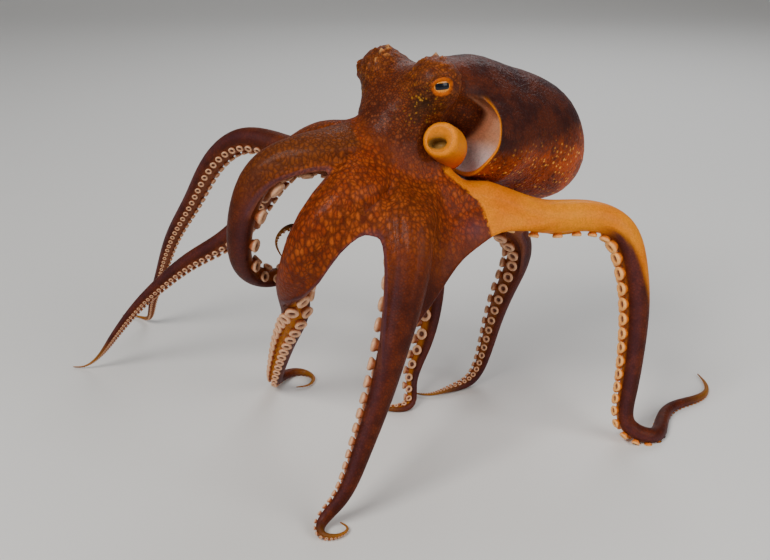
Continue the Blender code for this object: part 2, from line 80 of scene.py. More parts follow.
# name, azimuth round the crown, route beyond the crown as x, y, z and roll in degrees
ARMS = [
    ("left_1", 208, [(-33, -13, 126, 0), (-46, -15, 121, 0), (-54, -16, 107, 0),
                     (-57, -14, 92, 0), (-56, -7, 78, 0), (-47, 3, 70, 0), (-36, 6, 74, 0),
                     (-31, 5, 84, 0), (-38, 4, 92, 0), (-45, 4, 86, 0), (-43, 4, 79, 0)]),
    ("left_2", 252, [(-18, -30, 112, 0), (-28, -33, 100.5, 0), (-33.5, -29, 87, 0),
                     (-36.5, -20, 75, 60), (-37, -8, 60, 140), (-42, 6, 42, 170),
                     (-47.5, 20, 23, 175), (-51, 33, 7, 180), (-49, 44, 2.8, 180),
                     (-42, 50, 2.0, 180), (-35, 46, 1.6, 180), (-36, 38, 1.2, 180),
                     (-42, 36, 1.0, 180)]),
    ("left_3", 298, [(10, -32, 103, 0), (9, -41, 88, 0), (4, -50, 68, -12), (-2.6, -59, 46, -30),
                     (-9.8, -67, 26, -30), (-17.6, -73, 10, -20), (-24, -77, 2.8, 0),
                     (-23, -82, 1.8, 0), (-17, -82, 1.4, 0), (-14, -77, 1.2, 0),
                     (-17, -73, 1.0, 0)]),
    ("left_4", 347, [(29, -3, 107, 0), (45, -3, 103.5, 0), (63, -2, 98, 0), (82, 3, 96.5, 0), (97, 5, 90, 0),
                     (103, 3, 76, 0), (105, -1, 60, 0), (104.5, -5, 42, 0),
                     (102.5, -9, 22, 0), (104, -11, 7, 0), (114, -12, 2.6, 0),
                     (123, 4, 2, 0), (132, 17, 1.6, 0), (146, 26, 1.3, 0),
                     (152, 38, 1.0, 0), (151, 50, 0.9, 0)]),
    ("right_4", 31, [(36, 20, 97, 0), (51, 29, 86, 0), (60, 38, 70, 0), (56, 43, 50, 0),
                     (51, 45, 32, 0), (47, 44, 15, 0), (41, 39, 4, 0), (30, 32, 2, 0),
                     (20, 28, 1.4, 0), (12, 31, 1.0, 0)]),
    ("right_3", 76, [(10, 36, 98, 0), (18, 42, 78, 0), (22, 40, 58, 0), (21, 35, 40, 0),
                     (17, 31, 24, 0), (12, 24, 9, 0), (11, 16, 2.5, 0), (3, 14, 1.6, 0),
                     (-4, 18, 1.2, 0), (-7, 26, 0.9, 0)]),
    ("right_2", 122, [(-29, 36, 112, 0), (-45, 49, 113, 0), (-64, 59, 114, 0),
                      (-80, 67, 101, 0), (-91, 74, 82, 0), (-104, 83, 60, 0),
                      (-114, 93, 36, 0), (-122, 103, 15, 0), (-127, 111, 3.2, 0),
                      (-134, 117, 1.4, 0), (-143, 120, 0.9, 0)]),
    ("right_1", 165, [(-38, 14, 118, 0), (-50, 24, 103, 0), (-60, 32, 86, 0),
                      (-72, 36, 74, 0), (-88, 41, 63, 0), (-102, 46, 51, 0),
                      (-116, 50, 37, 0), (-131, 54, 18, 0), (-141, 56, 5.5, 0),
                      (-148, 57, 1.2, 0), (-153, 57.5, 0.9, 0)]),
]
# web after each arm: name, length along both arms, share cut away at its arch, the arch's lean
WEBS = [("left_1_2", 48, 0.75, 1.3), ("left_2_3", 70, 0.70, 1.2), ("left_3_4", 52, 0.30, 1.5),
        ("ventral", 78, 0.32, 4.0), ("right_4_3", 45, 0.25, 1.0), ("right_3_2", 45, 0.25, 1.0),
        ("right_2_1", 45, 0.25, 1.0), ("dorsal", 45, 0.20, 1.0)]

# line through head and mantle
BODY_LINE = [(-2, 0, 114), (1, 1, 127), (6, 5, 137.5), (14, 11, 143.5), (25, 19, 142.5),
             (37, 28, 136.5), (49, 37, 128), (61, 46, 117), (70, 53, 105), (76, 58, 94)]
MANTLE_RADIUS = 28.0


# ---------------------------------------------------------------- small maths
def unit(v):
    """Vectors scaled to length one."""
    return v / np.linalg.norm(v, axis=-1, keepdims=True)


def smooth(x):
    """Zero to one with flat ends."""
    x = np.clip(x, 0.0, 1.0)
    return x * x * (3.0 - 2.0 * x)


def grow(x, start, span):
    """Zero up to a start, then rising smoothly to one over a span."""
    return smooth((x - start) / span)


def fade(x, start, span):
    """One up to a start, then falling smoothly to zero over a span."""
    return 1.0 - grow(x, start, span)


def band(x, start, rise, end, fall):
    """Zero, rising to one after a start, and falling to zero again after an end."""
    return grow(x, start, rise) * fade(x, end, fall)


def turn_from(azimuth, middle):
    """Turn in degrees from a middle azimuth, from -180 to 180."""
    return (azimuth - middle + 180.0) % 360.0 - 180.0


def ring_turns(sides):
    """Even turns in radians, once round."""
    return np.arange(sides) * 2.0 * math.pi / sides


def spline(points, count):
    """Natural cubic spline through rows of numbers, sampled evenly in its parameter."""
    p = np.asarray(points, float)
    steps = np.linalg.norm(np.diff(p[:, :3], axis=0), axis=1) ** 0.75
    t = np.concatenate([[0.0], np.cumsum(steps)])
    n = len(p)
    h = np.diff(t)
    a = np.eye(n)
    b = np.zeros_like(p)
    for i in range(1, n - 1):
        a[i, i - 1:i + 2] = h[i - 1], 2.0 * (h[i - 1] + h[i]), h[i]
        b[i] = 6.0 * ((p[i + 1] - p[i]) / h[i] - (p[i] - p[i - 1]) / h[i - 1])
    m = np.linalg.solve(a, b)
    x = np.linspace(0.0, t[-1], count)
    i = np.clip(np.searchsorted(t, x) - 1, 0, n - 2)
    u = (x - t[i])[:, None]
    w = (t[i + 1] - x)[:, None]
    k = h[i][:, None]
    curve = (m[i] * w ** 3 + m[i + 1] * u ** 3) / (6.0 * k)
    return curve + (p[i] / k - m[i] * k / 6.0) * w + (p[i + 1] / k - m[i + 1] * k / 6.0) * u


def course(points, start):
    """Even 1 mm steps along a route, with a frame carried along it and turned by its roll."""
    fine = spline(points, 1500)
    run = np.concatenate([[0.0], np.cumsum(np.linalg.norm(np.diff(fine[:, :3], axis=0), axis=1))])
    at = np.linspace(0.0, run[-1], int(round(run[-1])) + 1)
    q = np.stack([np.interp(at, run, fine[:, c]) for c in range(4)], 1)
    place = q[:, :3]
    ahead = unit(np.gradient(place, axis=0))
    under = np.zeros_like(place)
    carried = np.array(start, float)
    for i in range(len(at)):
        carried = carried - ahead[i] * (carried @ ahead[i])
        carried = unit(carried)
        under[i] = carried
    across = np.cross(ahead, under)
    roll = np.radians(q[:, 3:4])
    under = under * np.cos(roll) + across * np.sin(roll)
    across = np.cross(ahead, under)
    return {"at": at, "place": place, "under": under, "across": across, "length": run[-1]}


def along(table, name, s):
    """A column of a course at distances s."""
    return np.stack([np.interp(s, table["at"], table[name][:, c]) for c in range(3)], -1)


# ---------------------------------------------------------------- crown, arms and webs
LEAN = math.radians(CROWN_LEAN)
CROWN_X = np.array([math.cos(LEAN), 0.0, -math.sin(LEAN)])
CROWN_Y = np.array([0.0, 1.0, 0.0])
CROWN_UP = np.array([math.sin(LEAN), 0.0, math.cos(LEAN)])
AZIMUTHS = np.array([a[1] for a in ARMS], float)
AZIMUTHS = np.where(AZIMUTHS < AZIMUTHS[0], AZIMUTHS + 360.0, AZIMUTHS)


def outward(azimuth):
    """Direction away from the crown's axis at an azimuth in degrees."""
    a = np.radians(np.asarray(azimuth, float))[..., None]
    return np.cos(a) * CROWN_X + np.sin(a) * CROWN_Y


# the eight arms' courses, from the crown's ring to their tips
COURSES = [course([(*(CROWN + CROWN_RADIUS * outward(arm[1])), 0.0)] + arm[2], -CROWN_UP) for arm in ARMS]


def arm_radius(k, s):
    """Radius of arm k at distance s, falling slowly at first."""
    x = np.clip(s / COURSES[k]["length"], 0.0, 1.0)
    share = 1.0 + (ARM_SHARES[k] - 1.0) * smooth(s / 60.0)
    return TIP_RADIUS + (ARM_RADIUS * share - TIP_RADIUS) * (1.0 - x ** 1.25)


def towards(azimuth, middle, sharp):
    """One at a middle azimuth and less to both sides: exp(sharp (cos(turn) - 1))."""
    return np.exp((np.cos(np.radians(np.asarray(azimuth, float)[..., None] - middle)) - 1.0) * sharp)


def dome(azimuth, s, side):
    """Crown's upper (side 1) or mouth (side -1) surface, s outside its ring."""
    s = np.asarray(s, float)[..., None]
    crest = KEEL_CREST * np.exp(-((s - CREST_AT) / CREST_WIDTH) ** 2)
    keel = towards(azimuth, KEEL_SIDE, KEEL_SHARP) * (CROWN_KEEL * fade(s, 0.0, KEEL_LENGTH) + crest)
    shoulder = CROWN_SHOULDER * towards(azimuth, SHOULDER_SIDE, SHOULDER_SHARP)
    keel = keel + shoulder * fade(s, 0.0, SHOULDER_LENGTH)
    level = np.where(side > 0, CROWN_RISE - 0.12 * s + keel, -CROWN_DROP + 0.05 * s)
    return CROWN + (CROWN_RADIUS + 0.85 * s) * outward(azimuth) + level * CROWN_UP


def web_arch(u, cut, lean):
    """Share of a web's length that is cut away at u across it, zero at both arms."""
    return cut * (1.0 - np.abs(2.0 * u ** lean - 1.0) ** 4.0)


def knots_through(values, at):
    """Natural cubic through the last axis of values, whose knots are 0, 1, 2 and so on."""
    v = np.asarray(values, float)
    n = v.shape[-1]
    a = np.eye(n)
    inner = np.arange(1, n - 1)
    a[inner, inner - 1] = 1.0
    a[inner, inner] = 4.0
    a[inner, inner + 1] = 1.0
    b = np.zeros_like(v)
    b[..., 1:-1] = 6.0 * (v[..., 2:] - 2.0 * v[..., 1:-1] + v[..., :-2])
    m = np.linalg.solve(a, b.reshape(-1, n).T).T.reshape(v.shape)
    i = np.clip(np.floor(at).astype(int), 0, n - 2)
    u = at - i
    w = 1.0 - u
    bend = ((w ** 3 - w) * m[..., i] + (u ** 3 - u) * m[..., i + 1]) / 6.0
    return v[..., i] * w + v[..., i + 1] * u + bend


def hashed(cells, salt):
    """A repeatable number from 0 to 1 for every whole-number cell."""
    mix = cells[..., 0] * 127.1 + cells[..., 1] * 311.7 + cells[..., 2] * 74.7 + salt * 19.19
    return np.mod(np.sin(mix) * 43758.5453, 1.0)


def pimples(points, size, salt, radius=0.62):
    """Round bumps, one near each cell of a lattice: (1 - (d / radius)^2)^2 from its centre."""
    p = points / size
    base = np.floor(p)
    height = np.zeros(len(p))
    for step in np.stack(np.meshgrid(*[[-1, 0, 1]] * 3, indexing="ij"), -1).reshape(-1, 3):
        cell = base + step
        jitter = np.stack([hashed(cell, salt), hashed(cell, salt + 1), hashed(cell, salt + 2)], -1)
        away = np.linalg.norm(p - cell - 0.15 - 0.7 * jitter, axis=-1) / radius
        tall = 0.45 + 0.55 * hashed(cell, salt + 3)
        height = np.maximum(height, tall * np.maximum(1.0 - away ** 2, 0.0) ** 2)
    return height


# ---------------------------------------------------------------- the skin's grid
ARM_COLUMNS = 16
WEB_COLUMNS = 18
ROW_STEP = 1.4
THIN_TIP = 0.38
TIP_TAPER = 30.0
# how far the netted pattern runs down each arm, in mm, in the order of ARMS
NET_REACH = [34.0, 50.0, 24.0, 34.0, 40.0, 40.0, 40.0, 40.0]
# how much painted shade darkens and browns the net on each arm, for arms that lie in shade
NET_SHADE = [1.0, 0.0, 0.35, 0.0, 0.3, 0.3, 0.6, 0.6]
# how orange each arm's underside is, and the arm that is orange all round
AMBER = [0.3, 1.0, 0.3, 1.0, 0.3, 1.0, 0.0, 0.0]
ORANGE = [float(arm[0] == "left_4") for arm in ARMS]
# places across an arm, and across a web, closer together near its arms
ARM_SPREAD = 2.0 * np.linspace(0.0, 1.0, ARM_COLUMNS + 1) - 1.0
WEB_SPREAD = np.linspace(0.0, 1.0, WEB_COLUMNS + 1)[1:-1]
WEB_SPREAD = 0.5 * WEB_SPREAD + 0.5 * (0.5 - 0.5 * np.cos(np.pi * WEB_SPREAD))


def arm_azimuths(k):
    """Azimuths of arm k's columns round the crown."""
    return AZIMUTHS[k] + ARM_SHARE * ARM_SPREAD


def web_azimuths(k):
    """Azimuths of the columns of the web after arm k."""
    width = (AZIMUTHS[(k + 1) % 8] - AZIMUTHS[k]) % 360.0 - 2.0 * ARM_SHARE
    return AZIMUTHS[k] + ARM_SHARE + width * WEB_SPREAD


def quads_of(index, flip=False, wrap=False):
    """Four-sided faces between neighbouring rows and columns of an index grid or of several."""
    i = np.concatenate([index, index[..., :1]], -1) if wrap else index
    a, b, c, d = i[..., :-1, :-1], i[..., 1:, :-1], i[..., 1:, 1:], i[..., :-1, 1:]
    return np.stack([a, d, c, b] if flip else [a, b, c, d], -1).reshape(-1, 4).tolist()


class Skin:
    """Points, faces and named per-point values of the skin while it is put together."""

    def __init__(self):
        self.points = []
        self.faces = []
        self.values = {}
        self.count = 0

    def add(self, grid, **values):
        """Keep a grid of points and return its index numbers."""
        shape = grid.shape[:-1]
        number = int(np.prod(shape))
        index = np.arange(self.count, self.count + number).reshape(shape)
        self.points.append(grid.reshape(-1, 3))
        for name, value in values.items():
            parts = self.values.setdefault(name, [])
            parts.append((self.count, np.broadcast_to(value, shape).reshape(-1).astype(float)))
        self.count += number
        return index

    def strip(self, index, flip=False, wrap=False):
        """Four-sided faces between neighbouring rows and columns of an index grid."""
        self.faces.extend(quads_of(index, flip, wrap))

    def fan(self, ring, pole, flip=False):
        """Triangles from a closed ring to one point."""
        nxt = np.roll(ring, -1)
        at = np.full(len(ring), pole)
        tris = np.stack([ring, at, nxt] if flip else [ring, nxt, at], -1)
        self.faces.extend(tris.tolist())

    def all_values(self):
        """Every named value, each as one array for all points, zero where it wasn't given."""
        out = {name: np.zeros(self.count) for name in self.values}
        for name, parts in self.values.items():
            for start, part in parts:
                out[name][start:start + len(part)] = part
        return SimpleNamespace(**out)


def arm_rows(k):
    """Distances of the rows along arm k: even steps, and finer ones round the tip."""
    end = COURSES[k]["length"]
    even = np.arange(0.0, end - 1.0, ROW_STEP)
    return np.concatenate([even, [end - 0.45, end - 0.12]])


def fine_radius(k, s):
    """Arm k's radius, drawn out to a thin rounded tip over its last part."""
    end = COURSES[k]["length"]
    left = end - s
    drawn = THIN_TIP + (1.0 - THIN_TIP) * smooth(left / TIP_TAPER)
    rounded = np.sqrt(np.clip(left / 0.6, 0.0, 1.0))
    return arm_radius(k, s) * drawn * (0.25 + 0.75 * rounded)


def skin_point(k, s, angle, azimuth, side):
    """Skin of arm k at distance s and angle round it (0 at its leading side, 90 outermost).

    Place on the arm's line + radius (across cos(angle) - under sin(angle)), flatter on the
    sucker side, and blended into the crown's dome near the crown.
    """
    s, angle, azimuth = np.broadcast_arrays(np.asarray(s, float), angle, azimuth)
    turn = np.radians(angle)
    r = fine_radius(k, s)[..., None]
    depth = np.where(np.sin(turn) > 0, 1.0, ORAL_DEPTH)[..., None]
    free = along(COURSES[k], "place", s) + r * (
        np.cos(turn)[..., None] * along(COURSES[k], "across", s)
        - depth * np.sin(turn)[..., None] * along(COURSES[k], "under", s))
    share = smooth(s / CROWN_BLEND)[..., None]
    return free * share + dome(azimuth, s, side) * (1.0 - share)


def build_arms_and_webs(skin):
    """Outer and inner sheets of the arms with the webs between them; returns the crown's rings.

    Arm: rows along it, columns from its trailing to its leading side. Web: rows run with the
    arms' rows, each pulled back by the arch across it, and points lie on straight lines
    from one arm's side to the other's.
    """
    outer_angle = 90.0 - (90.0 - EDGE_ANGLE) * ARM_SPREAD
    outer, inner = [], []
    for k in range(8):
        s = arm_rows(k)[:, None]
        kept = {"round": np.cos(np.radians(outer_angle)), **arm_values(k, s)}
        outer.append(skin.add(skin_point(k, s, outer_angle, arm_azimuths(k), 1), **kept))
        low = skin_point(k, s, -outer_angle, arm_azimuths(k), -1)
        inner.append(skin.add(low, oral=1.0, amber=AMBER[k], **kept))
        skin.strip(outer[k])
        skin.strip(inner[k], flip=True)
    webs = [build_web(skin, k, outer, inner) for k in range(8)]
    leads, trails = {}, {}
    for k in range(8):
        n = (k + 1) % 8
        o, i, rows = webs[k]
        leads[k] = close_side(skin, k, outer[k][:, -1], inner[k][:, -1], rows, 0.0)
        trails[n] = close_side(skin, n, outer[n][:, 0], inner[n][:, 0], rows, 180.0)
        quads = np.stack([o[-1, 1:-2], i[-1, 1:-2], i[-1, 2:-1], o[-1, 2:-1]], -1)
        skin.faces.extend(quads.tolist())
        skin.faces.append([o[-1, 0], leads[k][0], i[-1, 0], i[-1, 1], o[-1, 1]])
        skin.faces.append([o[-1, -2], i[-1, -2], i[-1, -1], trails[n][0], o[-1, -1]])
    for k in range(8):
        close_tip(skin, k, outer[k][-1], inner[k][-1], leads[k][-1], trails[k][-1])
    return [np.concatenate([np.concatenate([sheet[k][0], web[side][0, 1:-1]]) for k, web in enumerate(webs)])
            for side, sheet in enumerate((outer, inner))]


def arm_values(k, s):
    """Values that the finish needs on arm k at distances s."""
    return {"reach": s / COURSES[k]["length"], "limb": 1.0, "along": s, "bare": ORANGE[k],
            "net": NET_REACH[k], "dull": NET_SHADE[k]}


def build_web(skin, k, outer, inner):
    """Both sheets of the web after arm k; returns their index numbers with the arms' edges.

    Upper and lower sheet are pulled together towards the web's middle, and round off to an
    edge at the arch: half thickness times (left / 3 + 0.06)^0.5, with left the mm to the arch.
    """
    n = (k + 1) % 8
    name, length, cut, lean = WEBS[k]
    rows = int(round(length / ROW_STEP))
    s = (np.arange(rows + 1) * ROW_STEP)[:, None]
    u = WEB_SPREAD[None, :]
    w = u[..., None]
    back = s * (1.0 - web_arch(u, cut, lean))
    arc = fade(s, 0.0, 14.0)[..., None]
    sheets = []
    for side in (1, -1):
        from_arm = skin_point(k, back, side * EDGE_ANGLE, AZIMUTHS[k] + ARM_SHARE, side)
        to_arm = skin_point(n, back, 180 - side * EDGE_ANGLE, AZIMUTHS[n] - ARM_SHARE, side)
        sheet = from_arm * (1 - w) + to_arm * w
        sheets.append(sheet + arc * (dome(web_azimuths(k)[None, :], 0.0 * u, side) - sheet[:1]))
    top, low = sheets
    middle, half = 0.5 * (top + low), 0.5 * (top - low)
    beside = np.abs(2.0 * w - 1.0)
    thin = 1.0 - 0.80 * smooth(s / CROWN_BLEND)[..., None] * (1.0 - beside ** 2.0)
    round_off = np.sqrt(np.clip((rows * ROW_STEP - s) / 3.0 + 0.06, 0.0, 1.0))[..., None]
    half = half * thin * (round_off ** (1.0 - beside ** 3.0))
    kept = {"margin": fade(rows * ROW_STEP, s, 9.0), "web": 1.0, "along": back,
            "bare": {"ventral": fade(u, 0.45, 0.45), "left_3_4": 1.0}.get(name, 0.0),
            "net": NET_REACH[k] * (1.0 - u) + NET_REACH[n] * u,
            "dull": NET_SHADE[k] * (1.0 - u) ** 2 + NET_SHADE[n] * u ** 2}
    grids = []
    for arms, sheet, oral in ((outer, middle + half, 0.0), (inner, middle - half, 1.0)):
        own = skin.add(sheet, oral=oral, **kept)
        grids.append(np.concatenate([arms[k][:rows + 1, -1:], own, arms[n][:rows + 1, :1]], 1))
    skin.strip(grids[0])
    skin.strip(grids[1], flip=True)
    return *grids, rows


def close_side(skin, k, top, low, first, angle):
    """Round strip down one side of arm k from where the web ends; returns its middle points."""
    s = arm_rows(k)[first:]
    middle = skin.add(skin_point(k, s, angle, AZIMUTHS[k], 1), oral=0.5,
                      round=math.cos(math.radians(angle)), **arm_values(k, s))
    skin.strip(np.stack([top[first:], middle, low[first:]], 1), flip=angle > 90.0)
    return middle


def close_tip(skin, k, top, low, lead, trail):
    """Fan over the end of arm k."""
    ring = np.concatenate([top, [lead], low[::-1], [trail]])
    end = COURSES[k]["place"][-1]
    pole = skin.add(end[None, :], reach=1.0, limb=1.0, along=COURSES[k]["length"], oral=0.5)
    skin.fan(ring, pole[0], flip=True)


# ---------------------------------------------------------------- head and mantle
BODY = course([(*p, 0.0) for p in BODY_LINE], CROWN_X)
VENTRAL = 38.5
LIP_SIDE = -18.0
FUNNEL_SIDE = -15.0
ROOT_SIDE = 6.0
# turn in degrees to each side at which the mantle's edge starts to close, and over how much
CLOSES_LEFT = (84.0, 24.0)
CLOSES_RIGHT = (82.0, 42.0)
# turn from the funnel, and from the lip, within which the edge stands wide, and over how much it ends
WIDE_TURN = (15.0, 45.0)
LIP_TURN = (8.0, 30.0)
CHEEK_TURN = 75.0
ROOT_TURN = 70.0
# knots from the crown to the mantle's edge: distance along the body, then radius in mm
HEAD_AT = np.array([7.5, 12.5, 18.0, 22.0, 26.0, 30.0, 34.0, 38.0, 42.0])
HEAD_RADIUS = np.array([22.0, 17.2, 15.2, 14.6, 14.3, 14.2, 14.0, 13.6, 13.2])
# the same for the fold of the mantle's edge: where it stands open, and how wide by the funnel
OPEN_AT = np.array([48.0, 56.0, 63.5, 65.0, 62.0, 57.5, 55.5, 56.5, 60.0])
OPEN_RADIUS = np.array([13.6, 15.5, 17.0, 20.5, 23.2, 24.0, 25.0, 25.8, 26.2])
WIDE_RADIUS = np.array([14.0, 16.5, 18.5, 22.5, 27.5, 29.5, 30.8, 31.2, 30.6])
# how much further the edge stands out away from its lip
FLARE_HEIGHT = 4.5
FLARE = np.array([0.0, 0.0, 0.0, 0.2, 0.55, 0.85, 1.0, 1.0, 1.0])
# and where it lies shut over the back
SHUT_AT = np.array([44.5, 46.5, 48.5, 50.0, 51.5, 53.0, 54.5, 56.5, 60.0])
SHUT_RADIUS = np.array([15.1, 15.6, 16.1, 16.5, 17.0, 17.6, 18.2, 18.9, 20.1])
# knots of the mantle, on a body of BACK_LENGTH
BACK_AT = np.array([66.0, 74.0, 84.0, 94.0, 104.0, 112.5, 118.5, 121.2, 122.0])
BACK_LENGTH = 122.0
MANTLE_WIDEST = 84.0
# how much flatter the mantle is along its back, and its radius where it meets the fold
BACK_FLATTER = 0.23
SHUT_JOIN = 21.8
OPEN_JOIN = 25.0
# how much wider the head is at each of its knots, on the funnel's side and at the funnel's root
CHEEK = np.array([0.0, 3.6, 4.2, 3.2, 1.8, 0.8, 0.0, 0.0, 0.0])
ROOT = np.array([0.0, 8.5, 13.0, 12.5, 9.5, 7.0, 3.5, 1.0, 0.0])


def opening_of(azimuth):
    """One where the mantle's edge stands open round the underside, zero over the back."""
    side = turn_from(azimuth, VENTRAL)
    angle = np.abs(side)
    return 1.0 - np.where(side < 0.0, grow(angle, *CLOSES_LEFT), grow(angle, *CLOSES_RIGHT))


def body_knots(azimuth):
    """Distance along the body and radius at every knot, from the crown to the mantle's tip.

    Mantle: MANTLE_RADIUS (1 - b^2.4)^0.5, b the share of the way from its widest place to its tip.
    """
    side = turn_from(azimuth, VENTRAL)
    opened = opening_of(azimuth)[:, None]
    left = np.abs(turn_from(azimuth, FUNNEL_SIDE))
    under = fade(left, *WIDE_TURN)[:, None]
    flared = fade(np.abs(side - LIP_SIDE + VENTRAL), *LIP_TURN)[:, None]
    end = BODY["length"]
    back_at = BACK_AT * end / BACK_LENGTH
    beyond = np.abs((back_at - MANTLE_WIDEST) / (end - MANTLE_WIDEST))
    above = grow(np.abs(side), 80.0, 60.0)[:, None] * fade(back_at, 68.0, 38.0)
    round_r = MANTLE_RADIUS * np.sqrt(1.0 - beyond ** 2.4 + 1e-9) * (1.0 - BACK_FLATTER * above)
    shut_r = SHUT_RADIUS + (round_r[:, :1] - SHUT_JOIN) * grow(SHUT_AT, 46.0, 22.0)
    wide_r = WIDE_RADIUS + FLARE_HEIGHT * flared * FLARE
    fold_r = OPEN_RADIUS + (wide_r - OPEN_RADIUS) * np.maximum(under, flared)
    shift = (fold_r[:, -1:] - OPEN_JOIN) * fade(back_at, 58.0, 40.0)
    fold_r = fold_r * opened + shut_r * (1.0 - opened)
    fold_at = OPEN_AT * opened + SHUT_AT * (1.0 - opened)
    beside = np.abs(turn_from(azimuth, ROOT_SIDE))
    cheek = fade(left, 0.0, CHEEK_TURN)[:, None] * CHEEK
    cheek = np.maximum(cheek, fade(beside, 0.0, ROOT_TURN)[:, None] * ROOT)
    n = len(azimuth)
    at = np.concatenate([np.tile(HEAD_AT, (n, 1)), fold_at, np.tile(back_at, (n, 1))], 1)
    radius = np.concatenate([HEAD_RADIUS + cheek, fold_r, round_r + shift * opened], 1)
    return at, radius


# fine rows between one knot and the next
KNOT_ROWS = [6, 7, 6, 6, 6, 6, 6, 5, 5, 6, 6, 4, 4, 4, 3, 3, 4, 4, 5, 6, 7, 7, 6, 5, 4, 4]


# bands of the head and mantle, counted in knots: start, length of the rise, end, length of the fall
HOLLOW = (10.2, 0.5, 14.0, 0.8)
RIM = (13.6, 0.7, 15.0, 0.8)
NAPE = (6.5, 2.0, 19.5, 2.5)


def row_places():
    """Row positions counted in knots, the last one short of the mantle's tip."""
    parts = [i + np.arange(n) / n for i, n in enumerate(KNOT_ROWS)]
    return np.concatenate(parts)[1:]


def turret_centre(side):
    """Centre of the left (1) or right (-1) eye turret."""
    return TURRET_MIDDLE + side * TURRET_SPREAD * LEFT


def look_of(side):
    """Direction in which an eye looks."""
    look = unit(EYE_LOOK)
    if side < 0:
        look = look - 2.0 * (look @ LEFT) * LEFT / (LEFT @ LEFT)
    return look


def eye_centre(side):
    """Centre of an eyeball, looking out of its turret."""
    return turret_centre(side) + EYE_DEPTH * look_of(side)


def eye_axes(side):
    """Across, up and out of an eye, level except for a small tilt of the pupil."""
    out = look_of(side)
    across = unit(np.cross(np.array([0.0, 0.0, 1.0]), out))
    up = np.cross(out, across)
    tilt = math.radians(4.0) * side
    turned = across * math.cos(tilt) + up * math.sin(tilt)
    return turned, np.cross(out, turned), out


TURRET_BLEND = 8.0
TURRET_FOOT = 11.0
FOOT_AT = 25.0
# distances outside the head at which a ray is tried, from the outermost in
RAY_STEPS = np.linspace(30.0, 0.0, 61)


def raise_turrets(points, centre, keep):
    """Swell the head over two round-ended posts that carry the eyes.

    A post is a segment from the head's middle to the turret's with its own radius. Along the ray
    through a point, the outermost place is found where the smooth union of head and post ends:
    min(a, b) - h^2 / (4 k), with h = max(k - |a - b|, 0).
    """
    ray = points - centre
    base = np.linalg.norm(ray, axis=-1)
    ray = ray / base[..., None]
    foot = along(BODY, "place", np.array([FOOT_AT]))[0]
    reach = base.copy()
    found = np.zeros(base.shape, bool)
    before = np.full(base.shape, np.inf)
    for step in RAY_STEPS:
        at = base + step
        place = centre + ray * at[..., None]
        union = at - base
        for side in (1, -1):
            top = turret_centre(side)
            axis = top - foot
            share = np.clip(((place - foot) @ axis) / (axis @ axis), 0.0, 1.0)
            post = np.linalg.norm(place - foot - share[..., None] * axis, axis=-1)
            post = post - (TURRET_FOOT + (TURRET_RADIUS - TURRET_FOOT) * share)
            h = np.maximum(TURRET_BLEND - np.abs(union - post), 0.0)
            union = np.minimum(union, post) - h * h / (4.0 * TURRET_BLEND)
        crossed = (union <= 0.0) & ~found
        back = np.where(np.isfinite(before), -union / np.maximum(before - union, 1e-9), 0.0)
        reach = np.where(crossed, at + 0.5 * back, reach)
        found = found | crossed
        before = np.where(found, before, union)
    reach = base + (reach - base) * keep
    return centre + ray * reach[..., None]


# half angles of the eye's opening in degrees, across it and to its upper and lower edge
OPEN_ACROSS = 40.0
OPEN_ABOVE = 24.0
OPEN_BELOW = 30.0
LID_REACH = 9.0


def shape_lids(points):
    """Sink the skin behind each eyeball and fold it into lids round the opening.

    Seen from the eyeball's middle, a point lies at an angle from the look; that angle over the
    opening's own is q. Points are drawn towards q = 1, where the lid's edge touches the ball.
    """
    lid = np.zeros(points.shape[:-1])
    for side in (1, -1):
        middle = eye_centre(side)
        across, up, out = eye_axes(side)
        d = points - middle
        reach = np.linalg.norm(d, axis=-1)
        x, y, z = d @ across, d @ up, d @ out
        theta = np.degrees(np.arccos(np.clip(z / reach, -1.0, 1.0)))
        round_to = np.arctan2(y, x)
        tall = np.where(y > 0, OPEN_ABOVE, OPEN_BELOW)
        opening = 1.0 / np.sqrt((np.cos(round_to) / OPEN_ACROSS) ** 2 + (np.sin(round_to) / tall) ** 2)
        q = theta / opening
        near = (q < 2.0) & (reach < LID_REACH)
        drawn = 1.0 + np.sign(q - 1.0) * np.abs(q - 1.0) ** 1.7
        q2 = np.where(near, drawn, q)
        angle = np.radians(q2 * opening)[..., None]
        heavy = 0.5 + 0.5 * np.sin(round_to)
        crest = EYE_RADIUS + 0.75 + 0.75 * heavy
        fall = grow(q2, 1.35, 0.75)
        sunk = EYE_RADIUS - 0.9
        seat = sunk + (crest - sunk) * grow(q2, 0.93, 0.22)
        new_reach = seat * (1.0 - fall) + reach * fall
        way = np.cos(angle) * out + np.sin(angle) * (
            np.cos(round_to)[..., None] * across + np.sin(round_to)[..., None] * up)
        moved = middle + new_reach[..., None] * way
        points = np.where(near[..., None], moved, points)
        upright = np.abs(np.sin(round_to)) ** 1.5
        ring = grow(q2, 0.9, 0.1) * fade(q2 - 1.04 - 0.22 * upright, 0.0, 0.16 + 0.2 * upright)
        lid = np.where(near, np.maximum(lid, ring), lid)
    return points, lid


